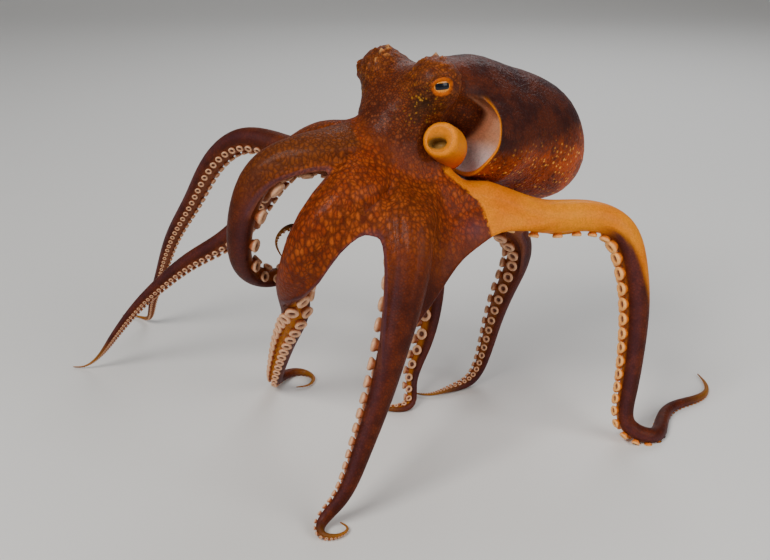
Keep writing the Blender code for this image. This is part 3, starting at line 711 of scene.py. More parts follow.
def build_body(skin, ring):
    """Head and mantle: rings round a curved line, with a knotted profile for every column."""
    columns = np.concatenate([part(k) for k in range(8) for part in (arm_azimuths, web_azimuths)])
    at_knots, radius_knots = body_knots(columns)
    places = row_places()
    at = knots_through(at_knots, places)
    radius = knots_through(radius_knots, places)
    a = np.radians(columns)[:, None, None]
    flip = 1.0 if BODY["across"][0] @ CROWN_Y > 0 else -1.0
    x = along(BODY, "under", at)
    y = flip * along(BODY, "across", at)
    centre = along(BODY, "place", at)
    ray = np.cos(a) * x + np.sin(a) * y
    points = centre + radius[..., None] * ray
    first = dome(columns, np.zeros(len(columns)), 1)
    low = np.full(len(columns), at_knots[0, 0])
    ideal = along(BODY, "place", low) + radius_knots[:, :1] * (
        np.cos(a[:, 0]) * along(BODY, "under", low) + flip * np.sin(a[:, 0]) * along(BODY, "across", low))
    points = points + fade(places, 0.0, 3.0)[None, :, None] * (first - ideal)[:, None]
    opened = opening_of(columns)[:, None]
    keep = smooth(places / 0.8)[None] * (1.0 - grow(places, 8.6, 0.8)[None] * opened)
    keep = keep * fade(places, 10.5, 7.0)
    points = raise_turrets(points, centre, keep)
    points, lid = shape_lids(points)
    closed = 1.0 - opened
    mantle = smooth((places[None] - 14.6 + 5.5 * closed) / (1.2 + 3.5 * closed)).T
    rows = skin.add(points.transpose(1, 0, 2), lid=lid.T, hollow=(band(places, *HOLLOW) * opened).T,
                    rim=(band(places, *RIM) * opened).T, nape=(band(places, *NAPE) * closed).T,
                    mantle=mantle, head=smooth(places / 2.5)[:, None] * (1.0 - mantle))
    grid = np.concatenate([ring[None, :], rows], 0)
    skin.strip(grid, flip=True, wrap=True)
    pole = skin.add(BODY["place"][-1][None, :], mantle=1.0)
    skin.fan(grid[-1], pole[0])


# share of the crown's ring and lift in mm of each ring round the mouth
MOUTH_RINGS = [(0.93, 0.0), (0.84, 0.1), (0.74, 0.3), (0.63, 0.6), (0.52, 0.9), (0.42, 1.0), (0.33, 0.6),
               (0.26, -0.6), (0.21, -1.4), (0.17, -1.5), (0.13, -0.6), (0.09, 1.2), (0.05, 3.0)]
MOUTH_DEPTH = 4.0


def build_mouth(skin, ring):
    """Mouth side of the crown: rings that shrink to a small puckered mouth."""
    first = np.concatenate(skin.points)[ring]
    middle = first.mean(0)
    share, lift = np.array(MOUTH_RINGS).T[:, :, None, None]
    rows = skin.add(middle + (first - middle)[None] * share + lift * CROWN_UP, oral=1.0, web=1.0)
    grid = np.concatenate([ring[None, :], rows], 0)
    skin.strip(grid, wrap=True)
    pole = skin.add((middle + MOUTH_DEPTH * CROWN_UP)[None, :], oral=1.0)
    skin.fan(grid[-1], pole[0], flip=True)


# ---------------------------------------------------------------- the funnel
FUNNEL_LINE = [(24.8, 5.5, 122.0), (24.2, -4.0, 128.2), (21.5, -13.5, 133.0)]
FUNNEL_PROFILE = [(0.0, 6.4), (5.0, 7.6), (12.0, 7.9), (18.0, 7.3), (22.5, 7.1), (24.6, 6.1),
                  (24.9, 4.9), (24.0, 4.0), (21.6, 3.4), (18.6, 2.8)]
FUNNEL_SIDES = 64
FUNNEL_ROWS = 55


def build_funnel(skin):
    """Round tube along a curved line, its thick rim rolled inwards to a flattened bore."""
    line = course([(*p, 0.0) for p in FUNNEL_LINE], (0.0, 0.0, 1.0))
    knots = np.array(FUNNEL_PROFILE).T
    places = np.linspace(0.0, len(FUNNEL_PROFILE) - 1.0, FUNNEL_ROWS)
    step, radius = knots_through(knots, places)
    end = line["length"]
    ahead = unit(line["place"][-1] - line["place"][-3])
    s = np.minimum(step, end)
    middle = along(line, "place", s) + np.maximum(step - end, 0.0)[:, None] * ahead
    middle = middle + grow(places, 5.6, 2.0)[:, None] * np.array([-1.3, -0.2, -1.1])
    flat = 1.0 - 0.46 * grow(places, 6.3, 1.5)
    x, y = along(line, "under", s) * flat[:, None], along(line, "across", s)
    turn = ring_turns(FUNNEL_SIDES)[None, :, None]
    ring = np.cos(turn) * x[:, None] + np.sin(turn) * y[:, None]
    grid = middle[:, None] + radius[:, None, None] * ring
    inside = grow(places, 6.6, 1.4)[:, None] * np.ones(FUNNEL_SIDES)
    rim = np.exp(-((places - 5.2) / 0.45) ** 2)[:, None] * np.ones(FUNNEL_SIDES)
    rows = skin.add(grid, bare=1.0, funnel=1.0, bore=inside, rim=rim)
    skin.strip(rows, wrap=True)
    for row, tip, flip in ((rows[0], middle[0], False), (rows[-1], middle[-1], True)):
        pole = skin.add(tip[None, :], bare=1.0, funnel=1.0, bore=1.0 if flip else 0.0)
        skin.fan(row, pole[0], flip=flip)


# ---------------------------------------------------------------- putting the skin together
def face_blocks(faces):
    """The faces as whole arrays, one for each number of corners."""
    blocks = [np.array([f for f in faces if len(f) == size], int) for size in (3, 4, 5)]
    return [block for block in blocks if len(block)]


def edges_of(blocks):
    """Both ends of every edge of the faces, each edge once."""
    pairs = [np.stack([block, np.roll(block, -1, 1)], -1).reshape(-1, 2) for block in blocks]
    pairs = np.sort(np.concatenate(pairs), 1)
    return np.unique(pairs, axis=0)


def normals_of(points, blocks):
    """Outward direction at every point, from the areas of the faces round it."""
    total = np.zeros_like(points)
    for block in blocks:
        a = points[block[:, 0]]
        n = sum(np.cross(points[block[:, c]] - a, points[block[:, c + 1]] - a)
                for c in range(1, block.shape[1] - 1))
        for corner in range(block.shape[1]):
            for axis in range(3):
                total[:, axis] += np.bincount(block[:, corner], n[:, axis], len(points))
    return unit(total + 1e-12)


def relax(points, blocks, weight, rounds, pull=0.5, back=1.04):
    """Smooth by moves along the outward direction alone, towards the mean of the neighbours.

    Every second round moves back the other way by a share, so the form doesn't shrink.
    """
    n = len(points)
    edges = edges_of(blocks)
    ends = np.concatenate([edges, edges[:, ::-1]])
    number = np.maximum(np.bincount(ends[:, 0], minlength=n), 1)
    for turn in range(rounds):
        if turn % 4 == 0:
            out = normals_of(points, blocks)
        near = points[ends[:, 1]]
        mean = np.stack([np.bincount(ends[:, 0], near[:, c], n) for c in range(3)], 1) / number[:, None]
        push = ((mean - points) * out).sum(1)
        share = pull if turn % 2 == 0 else -back * pull
        points = points + (share * weight * push)[:, None] * out
    return points


def put_object(name, data):
    """An object of its own for a mesh, a light or a camera."""
    made = bpy.data.objects.new(name, data)
    bpy.context.scene.collection.objects.link(made)
    return made


def put_mesh(name, place, faces, values, material):
    """A smooth-shaded mesh object at the origin, from points in metres."""
    mesh = bpy.data.meshes.new(name)
    mesh.from_pydata(place.tolist(), [], faces)
    mesh.polygons.foreach_set("use_smooth", np.ones(len(mesh.polygons), bool))
    for key, value in values.items():
        layer = mesh.attributes.new(key, "FLOAT", "POINT")
        layer.data.foreach_set("value", value.astype(np.float32))
    mesh.materials.append(material)
    mesh.update()
    return put_object(name, mesh)


def standing(points):
    """Points in metres in the shared frame from points in millimetres, none below the floor."""
    place = (points - CENTRE) * MM
    place[:, 2] = np.maximum(place[:, 2], 0.0)
    return place


def make_skin(material):
    """The whole animal's skin: arms, webs, head, mantle and funnel in one mesh."""
    skin = Skin()
    up, down = build_arms_and_webs(skin)
    build_body(skin, up)
    build_mouth(skin, down)
    build_funnel(skin)
    points = np.concatenate(skin.points)
    faces = skin.faces
    blocks = face_blocks(faces)
    v = skin.all_values()
    web = v.web > 0
    limb = (v.limb > 0) | web
    weight = np.where(limb, fade(v.along, 30.0, 40.0) * np.where(web, 1.0, np.abs(v.round) ** 3), 0.0)
    weight = np.maximum(weight, np.where(limb, fade(v.along, 10.0, 14.0), 0.0))
    base = (v.head < 0.25) & (v.mantle < 0.1) & ~limb & (v.funnel < 0.5)
    weight = np.where(base, 1.0, weight)
    weight = np.maximum(weight * (1.0 - 0.9 * v.margin), v.nape)
    joint = np.where(limb, fade(v.along, 3.0, 12.0), fade(v.head, 0.0, 0.8))
    joint = joint * (1.0 - v.mantle) * (1.0 - v.funnel) * (1.0 - v.margin)
    points = relax(points, blocks, joint, JOINT_ROUNDS, 0.5, -0.6)
    points = relax(points, blocks, weight, SKIN_ROUNDS)
    values, rise = paint(v, points)
    points = points + rise[:, None] * normals_of(points, blocks)
    return put_mesh("skin", standing(points), faces, values, material)


# papillae on each turret: direction across, out and up from its centre, then height in mm
SPIKES = [(0.1, -0.1, 1.0, 2.5), (0.55, -0.2, 0.85, 1.6), (-0.55, -0.3, 0.9, 2.0), (0.3, 0.7, 0.8, 1.2),
          (-0.9, -0.1, 0.5, 1.4), (0.0, -0.75, 0.8, 0.9), (-0.25, 0.35, 0.95, 1.3), (-0.65, 0.45, 0.75, 1.2),
          (-0.85, 0.4, 0.45, 1.1), (-0.95, 0.35, 0.1, 1.0), (0.35, 0.25, 1.0, 1.5), (-0.4, 0.0, 1.0, 2.2),
          (-0.8, 0.1, 0.75, 1.6), (-1.0, 0.0, 0.15, 1.0), (-0.15, -0.15, 1.0, 1.7), (0.3, 0.05, 1.0, 1.9)]
# spacing in mm of the big, small and broad warts, and the salt that scatters them
WARTS = [(2.5, 1.0), (1.25, 9.0), (3.6, 21.0)]
# middle of a muted spot of painted violet sheen on the web, by the orange edge
PAINTED_SHEEN_SPOT = np.array([35.5, -19.5, 99.5])
PAINTED_SHEEN_SPOT_WIDTH = 4.5
PATCH_WIDTH = 7.0
SPIKE_WIDTH = 1.5
# distance from a turret's centre at which its warts end, and over how much
TURRET_WARTS = (9.5, 7.0)
# heights at which each of these starts to give way, and over how much: orange under the head,
# the mantle's warm belly, and the pale depth of its opening, above which painted shade turns it tan
ORANGE_BELOW = (119.0, 3.0)
BELLY_BELOW = (114.0, 16.0)
PALE_BELOW = (117.5, 11.0)
# where along the arm its orange ends: at its sides, how much further on top, and over how much
ORANGE_END = 70.0
ORANGE_END_ABOVE = 38.0
ORANGE_END_SPAN = 15.0
# share of an arm's length at which its gold tip starts, and over how much
GOLD_TIP = (0.84, 0.12)
# rounds of smoothing where the parts join, and over the arms' roots and webs
JOINT_ROUNDS = 24
SKIN_ROUNDS = 40


def paint(v, p):
    """Masks for the finish and the height of warts and spikes at every point."""
    flesh = 1.0 - v.funnel
    limb = np.clip(v.limb, 0.0, 1.0)
    spread = np.maximum(limb, v.web)
    turret = np.zeros(len(p))
    patch = np.zeros(len(p))
    spike = np.zeros(len(p))
    for side in (1, -1):
        away = p - turret_centre(side)
        far = np.linalg.norm(away, axis=1)
        turret = np.maximum(turret, fade(far, *TURRET_WARTS))
        across, up, out = eye_axes(side)
        spot = eye_centre(side) - 6.5 * side * across - 7.5 * up
        patch = np.maximum(patch, np.exp(-(np.linalg.norm(p - spot, axis=1) / PATCH_WIDTH) ** 2))
        for a, b, c, tall in SPIKES:
            way = unit(a * side * across + b * out + c * up)
            near = np.linalg.norm(away - TURRET_RADIUS * way, axis=1)
            spike = np.maximum(spike, tall * np.maximum(1.0 - near / SPIKE_WIDTH, 0.0) ** 1.4)
    turret = turret * flesh * (1.0 - spread) * (1.0 - v.mantle)
    big, small, broad = (pimples(p, size, salt) for size, salt in WARTS)
    calm = (1.0 - v.lid) * (1.0 - v.hollow) * (1.0 - v.rim) * flesh
    net = v.net + 1e-6
    near = np.where(spread > 0, fade(v.along - 0.5 * net, 0.0, 1.2 * net), 1.0) * flesh
    wart = turret * (0.75 * big + 0.45 * small + 0.5 * spike)
    rise = calm * turret * (0.62 * big + 0.25 * small + spike)
    outer = (1.0 - v.oral) * calm
    rise = rise + outer * (1.0 - turret) * (0.20 * big * v.head + 0.16 * broad * near)
    low = fade(p[:, 2], *ORANGE_BELOW)
    kept = np.where(spread > 0, v.bare, low * (1.0 - v.mantle) * (1.0 - v.hollow))
    crest = np.sqrt(np.clip(1.0 - v.round ** 2, 0.0, 1.0)) * (1.0 - v.oral) * limb
    bare = kept * fade(v.along - ORANGE_END - ORANGE_END_ABOVE * crest, 0.0, ORANGE_END_SPAN) * flesh
    belly = v.mantle * fade(p[:, 2], *BELLY_BELOW)
    # painted violet sheen: along the arms' sides, at the webs' margins and in one spot on the web; none on
    # bare orange, and weaker on the mouth side
    edge = 0.35 * np.abs(v.round) ** 8 * limb * (1.0 - near)
    sheen_spot = 0.5 * np.exp(-(np.linalg.norm(p - PAINTED_SHEEN_SPOT, axis=1) / PAINTED_SHEEN_SPOT_WIDTH) ** 2) * spread
    violet = np.maximum(np.maximum(0.55 * v.margin, edge) * (1.0 - bare), sheen_spot) * (1.0 - v.oral * 0.6)
    gold = limb * grow(v.reach, *GOLD_TIP) * 0.8
    side = grow(np.abs(v.round), 0.5, 0.35) * np.minimum(limb, 1.0)
    values = {"near": near * np.where(spread > 0, 1.0, 1.0 - v.head), "head": v.head * calm,
              "mantle": v.mantle * calm, "wart": np.clip(wart, 0.0, 1.0),
              # tip: a painted highlight on the apexes of the turrets' spikes
              "tip": np.clip(turret * (spike - 0.95), 0.0, 0.9), "dark_patch": patch * calm,
              "under": v.oral * spread * (1.0 - side), "bare": bare, "funnel": v.funnel,
              "hollow": v.hollow, "pale": fade(p[:, 2], *PALE_BELOW), "rim": v.rim, "lid": v.lid,
              "bore": v.bore, "belly": belly, "violet": violet, "gold_tip": gold,
              "amber": v.amber, "dull": v.dull * spread}
    return values, rise


# ---------------------------------------------------------------- suckers
# step out from the arm and radius of each ring of a sucker, in sucker radii; then its cup value
SUCKER_RINGS = [(-0.55, 0.70, 0.0), (0.15, 0.66, 0.0), (0.55, 0.92, 0.35), (0.88, 1.00, 0.8),
                (1.10, 0.82, 1.0), (0.96, 0.58, 0.9), (0.66, 0.38, 0.45), (0.52, 0.12, 0.0)]
SUCKER_SIDES = 12
# how far a cup leans and sits under and across its arm, across being towards its own row
CUP_WAY = (0.86, 0.50)
CUP_SEAT = (0.60, 0.47)
SUCKER_START = 13.0
SUCKER_LEAST_STEP = 0.6
# where along the orange arm, and along the others, suckers reach their full size
FULL_SIZE_ORANGE = 88.0
FULL_SIZE_AT = 24.0
# for each arm, the suckers' radius and spacing as shares of its radius
SUCKER_SHARE = {"left_2": (0.46, 0.64), "left_3": (0.46, 0.59), "left_4": (0.49, 0.58),
                "right_3": (0.66, 1.05), "right_4": (0.46, 0.66), "left_1": (0.50, 1.10),
                "right_1": (0.30, 0.44), "right_2": (0.30, 0.44)}


def sucker_places(k):
    """Where suckers sit along arm k: distance, side and radius, two rows taking turns."""
    end = COURSES[k]["length"]
    wide, apart = SUCKER_SHARE[ARMS[k][0]]
    s, side, out = SUCKER_START, 1.0, []
    grown = FULL_SIZE_ORANGE if ORANGE[k] else FULL_SIZE_AT
    while s < end - 3.0:
        r = float(fine_radius(k, np.array(s)))
        out.append((s, side, wide * r * (0.6 + 0.4 * float(smooth((s - grown + 14.0) / 14.0)))))
        s += max(apart * r, SUCKER_LEAST_STEP)
        side = -side
    return np.array(out)


def make_suckers(k, material):
    """Both rows of arm k's suckers: one round cup profile set out along the sucker side."""
    s, side, size = sucker_places(k).T
    middle, across, under = (along(COURSES[k], part, s) for part in ("place", "across", "under"))
    across = side[:, None] * across
    ahead = np.cross(across, under)
    r = fine_radius(k, s)[:, None]
    out = unit(CUP_WAY[0] * under + CUP_WAY[1] * across)
    seat = middle + r * (CUP_SEAT[1] * across + CUP_SEAT[0] * under)
    blend = smooth(s / CROWN_BLEND)[:, None]
    on_dome = dome(AZIMUTHS[k] + side * 6.0, s, -1)
    seat = seat * blend + on_dome * (1.0 - blend)
    e1 = unit(np.cross(out, ahead))
    e2 = np.cross(out, e1)
    turn = ring_turns(SUCKER_SIDES)[None, :, None]
    lift, radius, cup = np.array(SUCKER_RINGS).T
    ring = np.cos(turn) * e1[:, None] + np.sin(turn) * e2[:, None]
    points = (seat[:, None, None] + size[:, None, None, None] * (
        lift[None, :, None, None] * out[:, None, None] + radius[None, :, None, None] * ring[:, None]))
    index = np.arange(points.size // 3).reshape(points.shape[:3])
    faces = quads_of(index, flip=True, wrap=True) + index[:, -1].tolist() + index[:, 0, ::-1].tolist()
    # the last two rings, the cup's sunken middle, carry painted shade
    cup_shade = np.arange(len(cup)) >= len(cup) - 2
    cups, cup_shade = (np.broadcast_to(value[None, :, None], index.shape).reshape(-1) for value in (cup, cup_shade))
    warm = np.full(index.size, 0.3 + 0.7 * AMBER[k] * ORANGE[k])
    return put_mesh("suckers_" + ARMS[k][0], standing(points.reshape(-1, 3)), faces,
                    {"cup": cups, "cup_shade": cup_shade, "warm": warm}, material)


# ---------------------------------------------------------------- eyes
EYE_RINGS = 47
EYE_SIDES = 64


def make_eye(side, material):
    """An eyeball: rings about its look, with places across and up kept for the pupil."""
    across, up, out = eye_axes(side)
    lift = np.linspace(0.0, math.pi, EYE_RINGS + 2)[1:-1][:, None]
    turn = ring_turns(EYE_SIDES)[None, :]
    rings = (np.sin(lift) * np.cos(turn), np.sin(lift) * np.sin(turn), np.cos(lift) + 0.0 * turn)
    poles = ([0.0, 0.0], [0.0, 0.0], [1.0, -1.0])
    x, y, z = (np.concatenate([part.reshape(-1), ends]) for part, ends in zip(rings, poles))
    points = eye_centre(side) + EYE_RADIUS * (x[:, None] * across + y[:, None] * up + z[:, None] * out)
    index = np.arange(EYE_RINGS * EYE_SIDES).reshape(EYE_RINGS, EYE_SIDES)
    first, last = index[0].tolist(), index[-1].tolist()
    faces = quads_of(index, wrap=True)
    faces += [[a, b, index.size] for a, b in zip(first, first[1:] + first[:1])]
    faces += [[b, a, index.size + 1] for a, b in zip(last, last[1:] + last[:1])]
    values = {"gaze_x": x * EYE_RADIUS, "gaze_y": y * EYE_RADIUS, "gaze_z": z}
    name = "eyeball_left" if side > 0 else "eyeball_right"
    return put_mesh(name, standing(points), faces, values, material)


# ---------------------------------------------------------------- finishes
class Net:
    """A node tree that is being wired."""

    def __init__(self, tree):
        self.tree = tree

    def join(self, made, inputs):
        """Link or set the inputs of a node."""
        for key, value in inputs.items():
            if isinstance(value, bpy.types.NodeSocket):
                self.tree.links.new(value, made.inputs[key])
            else:
                made.inputs[key].default_value = value
        return made

    def node(self, kind, inputs=None, **settings):
        """A new node with its settings, and its inputs linked or set."""
        made = self.tree.nodes.new("ShaderNode" + kind)
        for key, value in settings.items():
            setattr(made, key, value)
        return self.join(made, inputs or {})

    def math(self, operation, a, b=0.0, c=0.0):
        """Result of a sum on one to three numbers."""
        return self.node("Math", {0: a, 1: b, 2: c}, operation=operation).outputs[0]

    def times(self, a, b):
        """One number times another."""
        return self.math("MULTIPLY", a, b)

    def step(self, value, low, high, start=0.0, end=1.0):
        """Smooth change from start to end as value goes from low to high."""
        inputs = {"Value": value, "From Min": low, "From Max": high, "To Min": start, "To Max": end}
        return self.node("MapRange", inputs, interpolation_type="SMOOTHSTEP").outputs["Result"]

    def mix(self, share, a, b, blend="MIX"):
        """Colour a turned into colour b by a share."""
        a, b = (value if isinstance(value, bpy.types.NodeSocket) else (*value, 1.0) for value in (a, b))
        return self.node("Mix", {0: share, 6: a, 7: b}, data_type="RGBA", blend_type=blend).outputs[2]

    def coats(self, colour, *coats):
        """A colour with coats laid over it in turn, each a share and a colour."""
        for share, coat in coats:
            colour = self.mix(share, colour, coat)
        return colour

    def kept(self, name):
        """A named per-point value of the piece."""
        return self.node("Attribute", attribute_name=name).outputs["Fac"]

    def noise(self, vector, scale, detail, rough):
        """Cloudy value about one half."""
        inputs = {"Vector": vector, "Scale": scale, "Detail": detail, "Roughness": rough}
        return self.node("TexNoise", inputs).outputs[0]

    def lattice(self, vector, scale, feature="F1"):
        """Cells round the scattered points of a lattice, by distance to a point or to an edge."""
        return self.node("TexVoronoi", {"Vector": vector, "Scale": scale}, feature=feature).outputs

    def parts(self, colour):
        """The three numbers of a colour."""
        return self.node("SeparateColor", {"Color": colour}).outputs

    def use(self, group, **inputs):
        """Outputs of a shared effect placed with its own values."""
        return self.node("Group", inputs, node_tree=group).outputs


def new_group(name, numbers, results):
    """An empty effect on a place, with numbers to set and named results: its net and both ends."""
    group = bpy.data.node_groups.new(name, "ShaderNodeTree")
    group.interface.new_socket(name="Vector", in_out="INPUT", socket_type="NodeSocketVector")
    for label, value in numbers.items():
        socket = group.interface.new_socket(name=label, in_out="INPUT", socket_type="NodeSocketFloat")
        socket.default_value = value
    for label in results:
        group.interface.new_socket(name=label, in_out="OUTPUT", socket_type="NodeSocketFloat")
    return Net(group), group.nodes.new("NodeGroupInput").outputs, group.nodes.new("NodeGroupOutput")


def make_cell_group():
    """Dark veins that fade into rounded cells, each cell with its own tint."""
    net, given, result = new_group("skin cells", {"Scale": 300.0, "Warp": 0.002, "Vein": 0.3},
                                   ("Veins", "Tint", "Height", "Rings"))
    cloud = net.node("TexNoise", {"Vector": given["Vector"], "Scale": 260.0, "Detail": 3.0})
    centred = net.node("VectorMath", {0: cloud.outputs["Color"], 1: (0.5, 0.5, 0.5)}, operation="SUBTRACT")
    pushed = net.node("VectorMath", {0: centred.outputs[0], "Scale": given["Warp"]}, operation="SCALE")
    place = net.node("VectorMath", {0: given["Vector"], 1: pushed.outputs[0]}, operation="ADD").outputs[0]
    edge = net.lattice(place, given["Scale"], "DISTANCE_TO_EDGE")["Distance"]
    cell = net.lattice(place, given["Scale"])
    net.join(result, {"Veins": net.step(edge, 0.0, given["Vein"], 1.0, 0.0),
                      "Tint": net.parts(cell["Color"])[0],
                      "Height": net.step(edge, 0.0, 0.4),
                      "Rings": net.step(cell["Distance"], 0.22, 0.74)})
    return net.tree


def make_grain_group():
    """Fine colour cells and pores: a mottle for the colour and a small height."""
    net, given, result = new_group("fine grain", {"Scale": 1600.0}, ("Mottle", "Height"))
    dots = net.lattice(given["Vector"], given["Scale"])
    cloud = net.noise(given["Vector"], 420.0, 4.0, 0.62)
    shade = net.parts(dots["Color"])[1]
    net.join(result, {"Mottle": net.math("ADD", net.times(shade, 0.45), net.times(cloud, 0.55)),
                      "Height": net.math("SUBTRACT", cloud, net.times(dots["Distance"], 0.35))})
    return net.tree


def make_speck_group():
    """Small round specks in a share of the cells of a lattice."""
    net, given, result = new_group("specks", {"Scale": 500.0, "Share": 0.4, "Size": 0.25}, ("Specks",))
    dots = net.lattice(given["Vector"], given["Scale"])
    own = net.parts(dots["Color"])
    chosen = net.math("LESS_THAN", own[0], given["Share"])
    size = net.times(given["Size"], net.math("ADD", 0.5, own[1]))
    spot = net.step(dots["Distance"], net.times(size, 0.5), size, 1.0, 0.0)
    net.join(result, {"Specks": net.times(chosen, spot)})
    return net.tree


CELLS = make_cell_group()
GRAIN = make_grain_group()
SPECKS = make_speck_group()
SKIN_GLOSS = {"Specular IOR Level": 0.08, "Coat Weight": 0.04, "Coat Roughness": 0.12,
              "Sheen Weight": 0.02, "Sheen Roughness": 0.22, "Sheen Tint": (0.45, 0.32, 1.0, 1.0),
              "Subsurface Weight": 0.06, "Subsurface Radius": (0.9, 0.3, 0.12),
              "Subsurface Scale": 0.003}
CUP_GLOSS = {"Specular IOR Level": 0.25, "Coat Weight": 0.1, "Coat Roughness": 0.15,
             "Subsurface Weight": 0.1, "Subsurface Radius": (0.9, 0.4, 0.2),
             "Subsurface Scale": 0.002}
EYE_GLOSS = {"Specular IOR Level": 0.2, "Coat Weight": 0.25, "Coat Roughness": 0.05}
FLOOR_PAINT = {"Base Color": (0.72, 0.71, 0.69, 1.0), "Roughness": 0.85}
# how far across the orange edge lies on the web, in metres, and how wide its change is
ORANGE_EDGE = 0.0222
ORANGE_EDGE_END = 0.0238
# height in metres above which the orange edge leans over
EDGE_LEAN_FROM = 0.107
# half sizes of the pupil across and up the eye, in mm
PUPIL_ACROSS = 2.75
PUPIL_UP = 1.30


def new_finish(name):
    """An empty material; returns it, its net and the piece's own coordinates."""
    made = bpy.data.materials.new(name)
    made.use_nodes = True
    net = Net(made.node_tree)
    return made, net, net.node("TexCoord").outputs["Object"]


def shine(made, values):
    """Set plain values on a material's shader."""
    shader = made.node_tree.nodes["Principled BSDF"]
    for key, value in values.items():
        shader.inputs[key].default_value = value


def dress(made, net, colour, height, strength, roughness, gloss):
    """Wire a colour, a height in metres and a roughness to a material's shader and set its gloss."""
    bump = net.node("Bump", {"Height": height, "Distance": 1.0, "Strength": strength}).outputs[0]
    shader = made.node_tree.nodes["Principled BSDF"]
    net.join(shader, {"Base Color": colour, "Normal": bump, "Roughness": roughness})
    shine(made, gloss)
    return made


def mottled(net, colour, mottle, depth):
    """A colour darkened and lightened by the grain's mottle, by half a depth each way."""
    shade = net.math("MULTIPLY_ADD", mottle, depth, 1.0 - 0.5 * depth)
    grey = net.node("CombineColor", {0: shade, 1: shade, 2: shade}).outputs[0]
    return net.mix(1.0, colour, grey, "MULTIPLY")


def orange_edge(net, place, tint):
    """Where the web turns orange: across plus half of depth, leaning over high up, and ragged."""
    axes = net.node("SeparateXYZ", {"Vector": place}).outputs
    slant = net.math("MULTIPLY_ADD", axes[1], 0.5, axes[0])
    above = net.math("MAXIMUM", net.math("SUBTRACT", axes[2], EDGE_LEAN_FROM), 0.0)
    slant = net.math("MULTIPLY_ADD", above, 1.1, slant)
    slant = net.math("MULTIPLY_ADD", net.math("SUBTRACT", tint, 0.5), 0.0012, slant)
    return net.step(slant, ORANGE_EDGE, ORANGE_EDGE_END), axes[2]


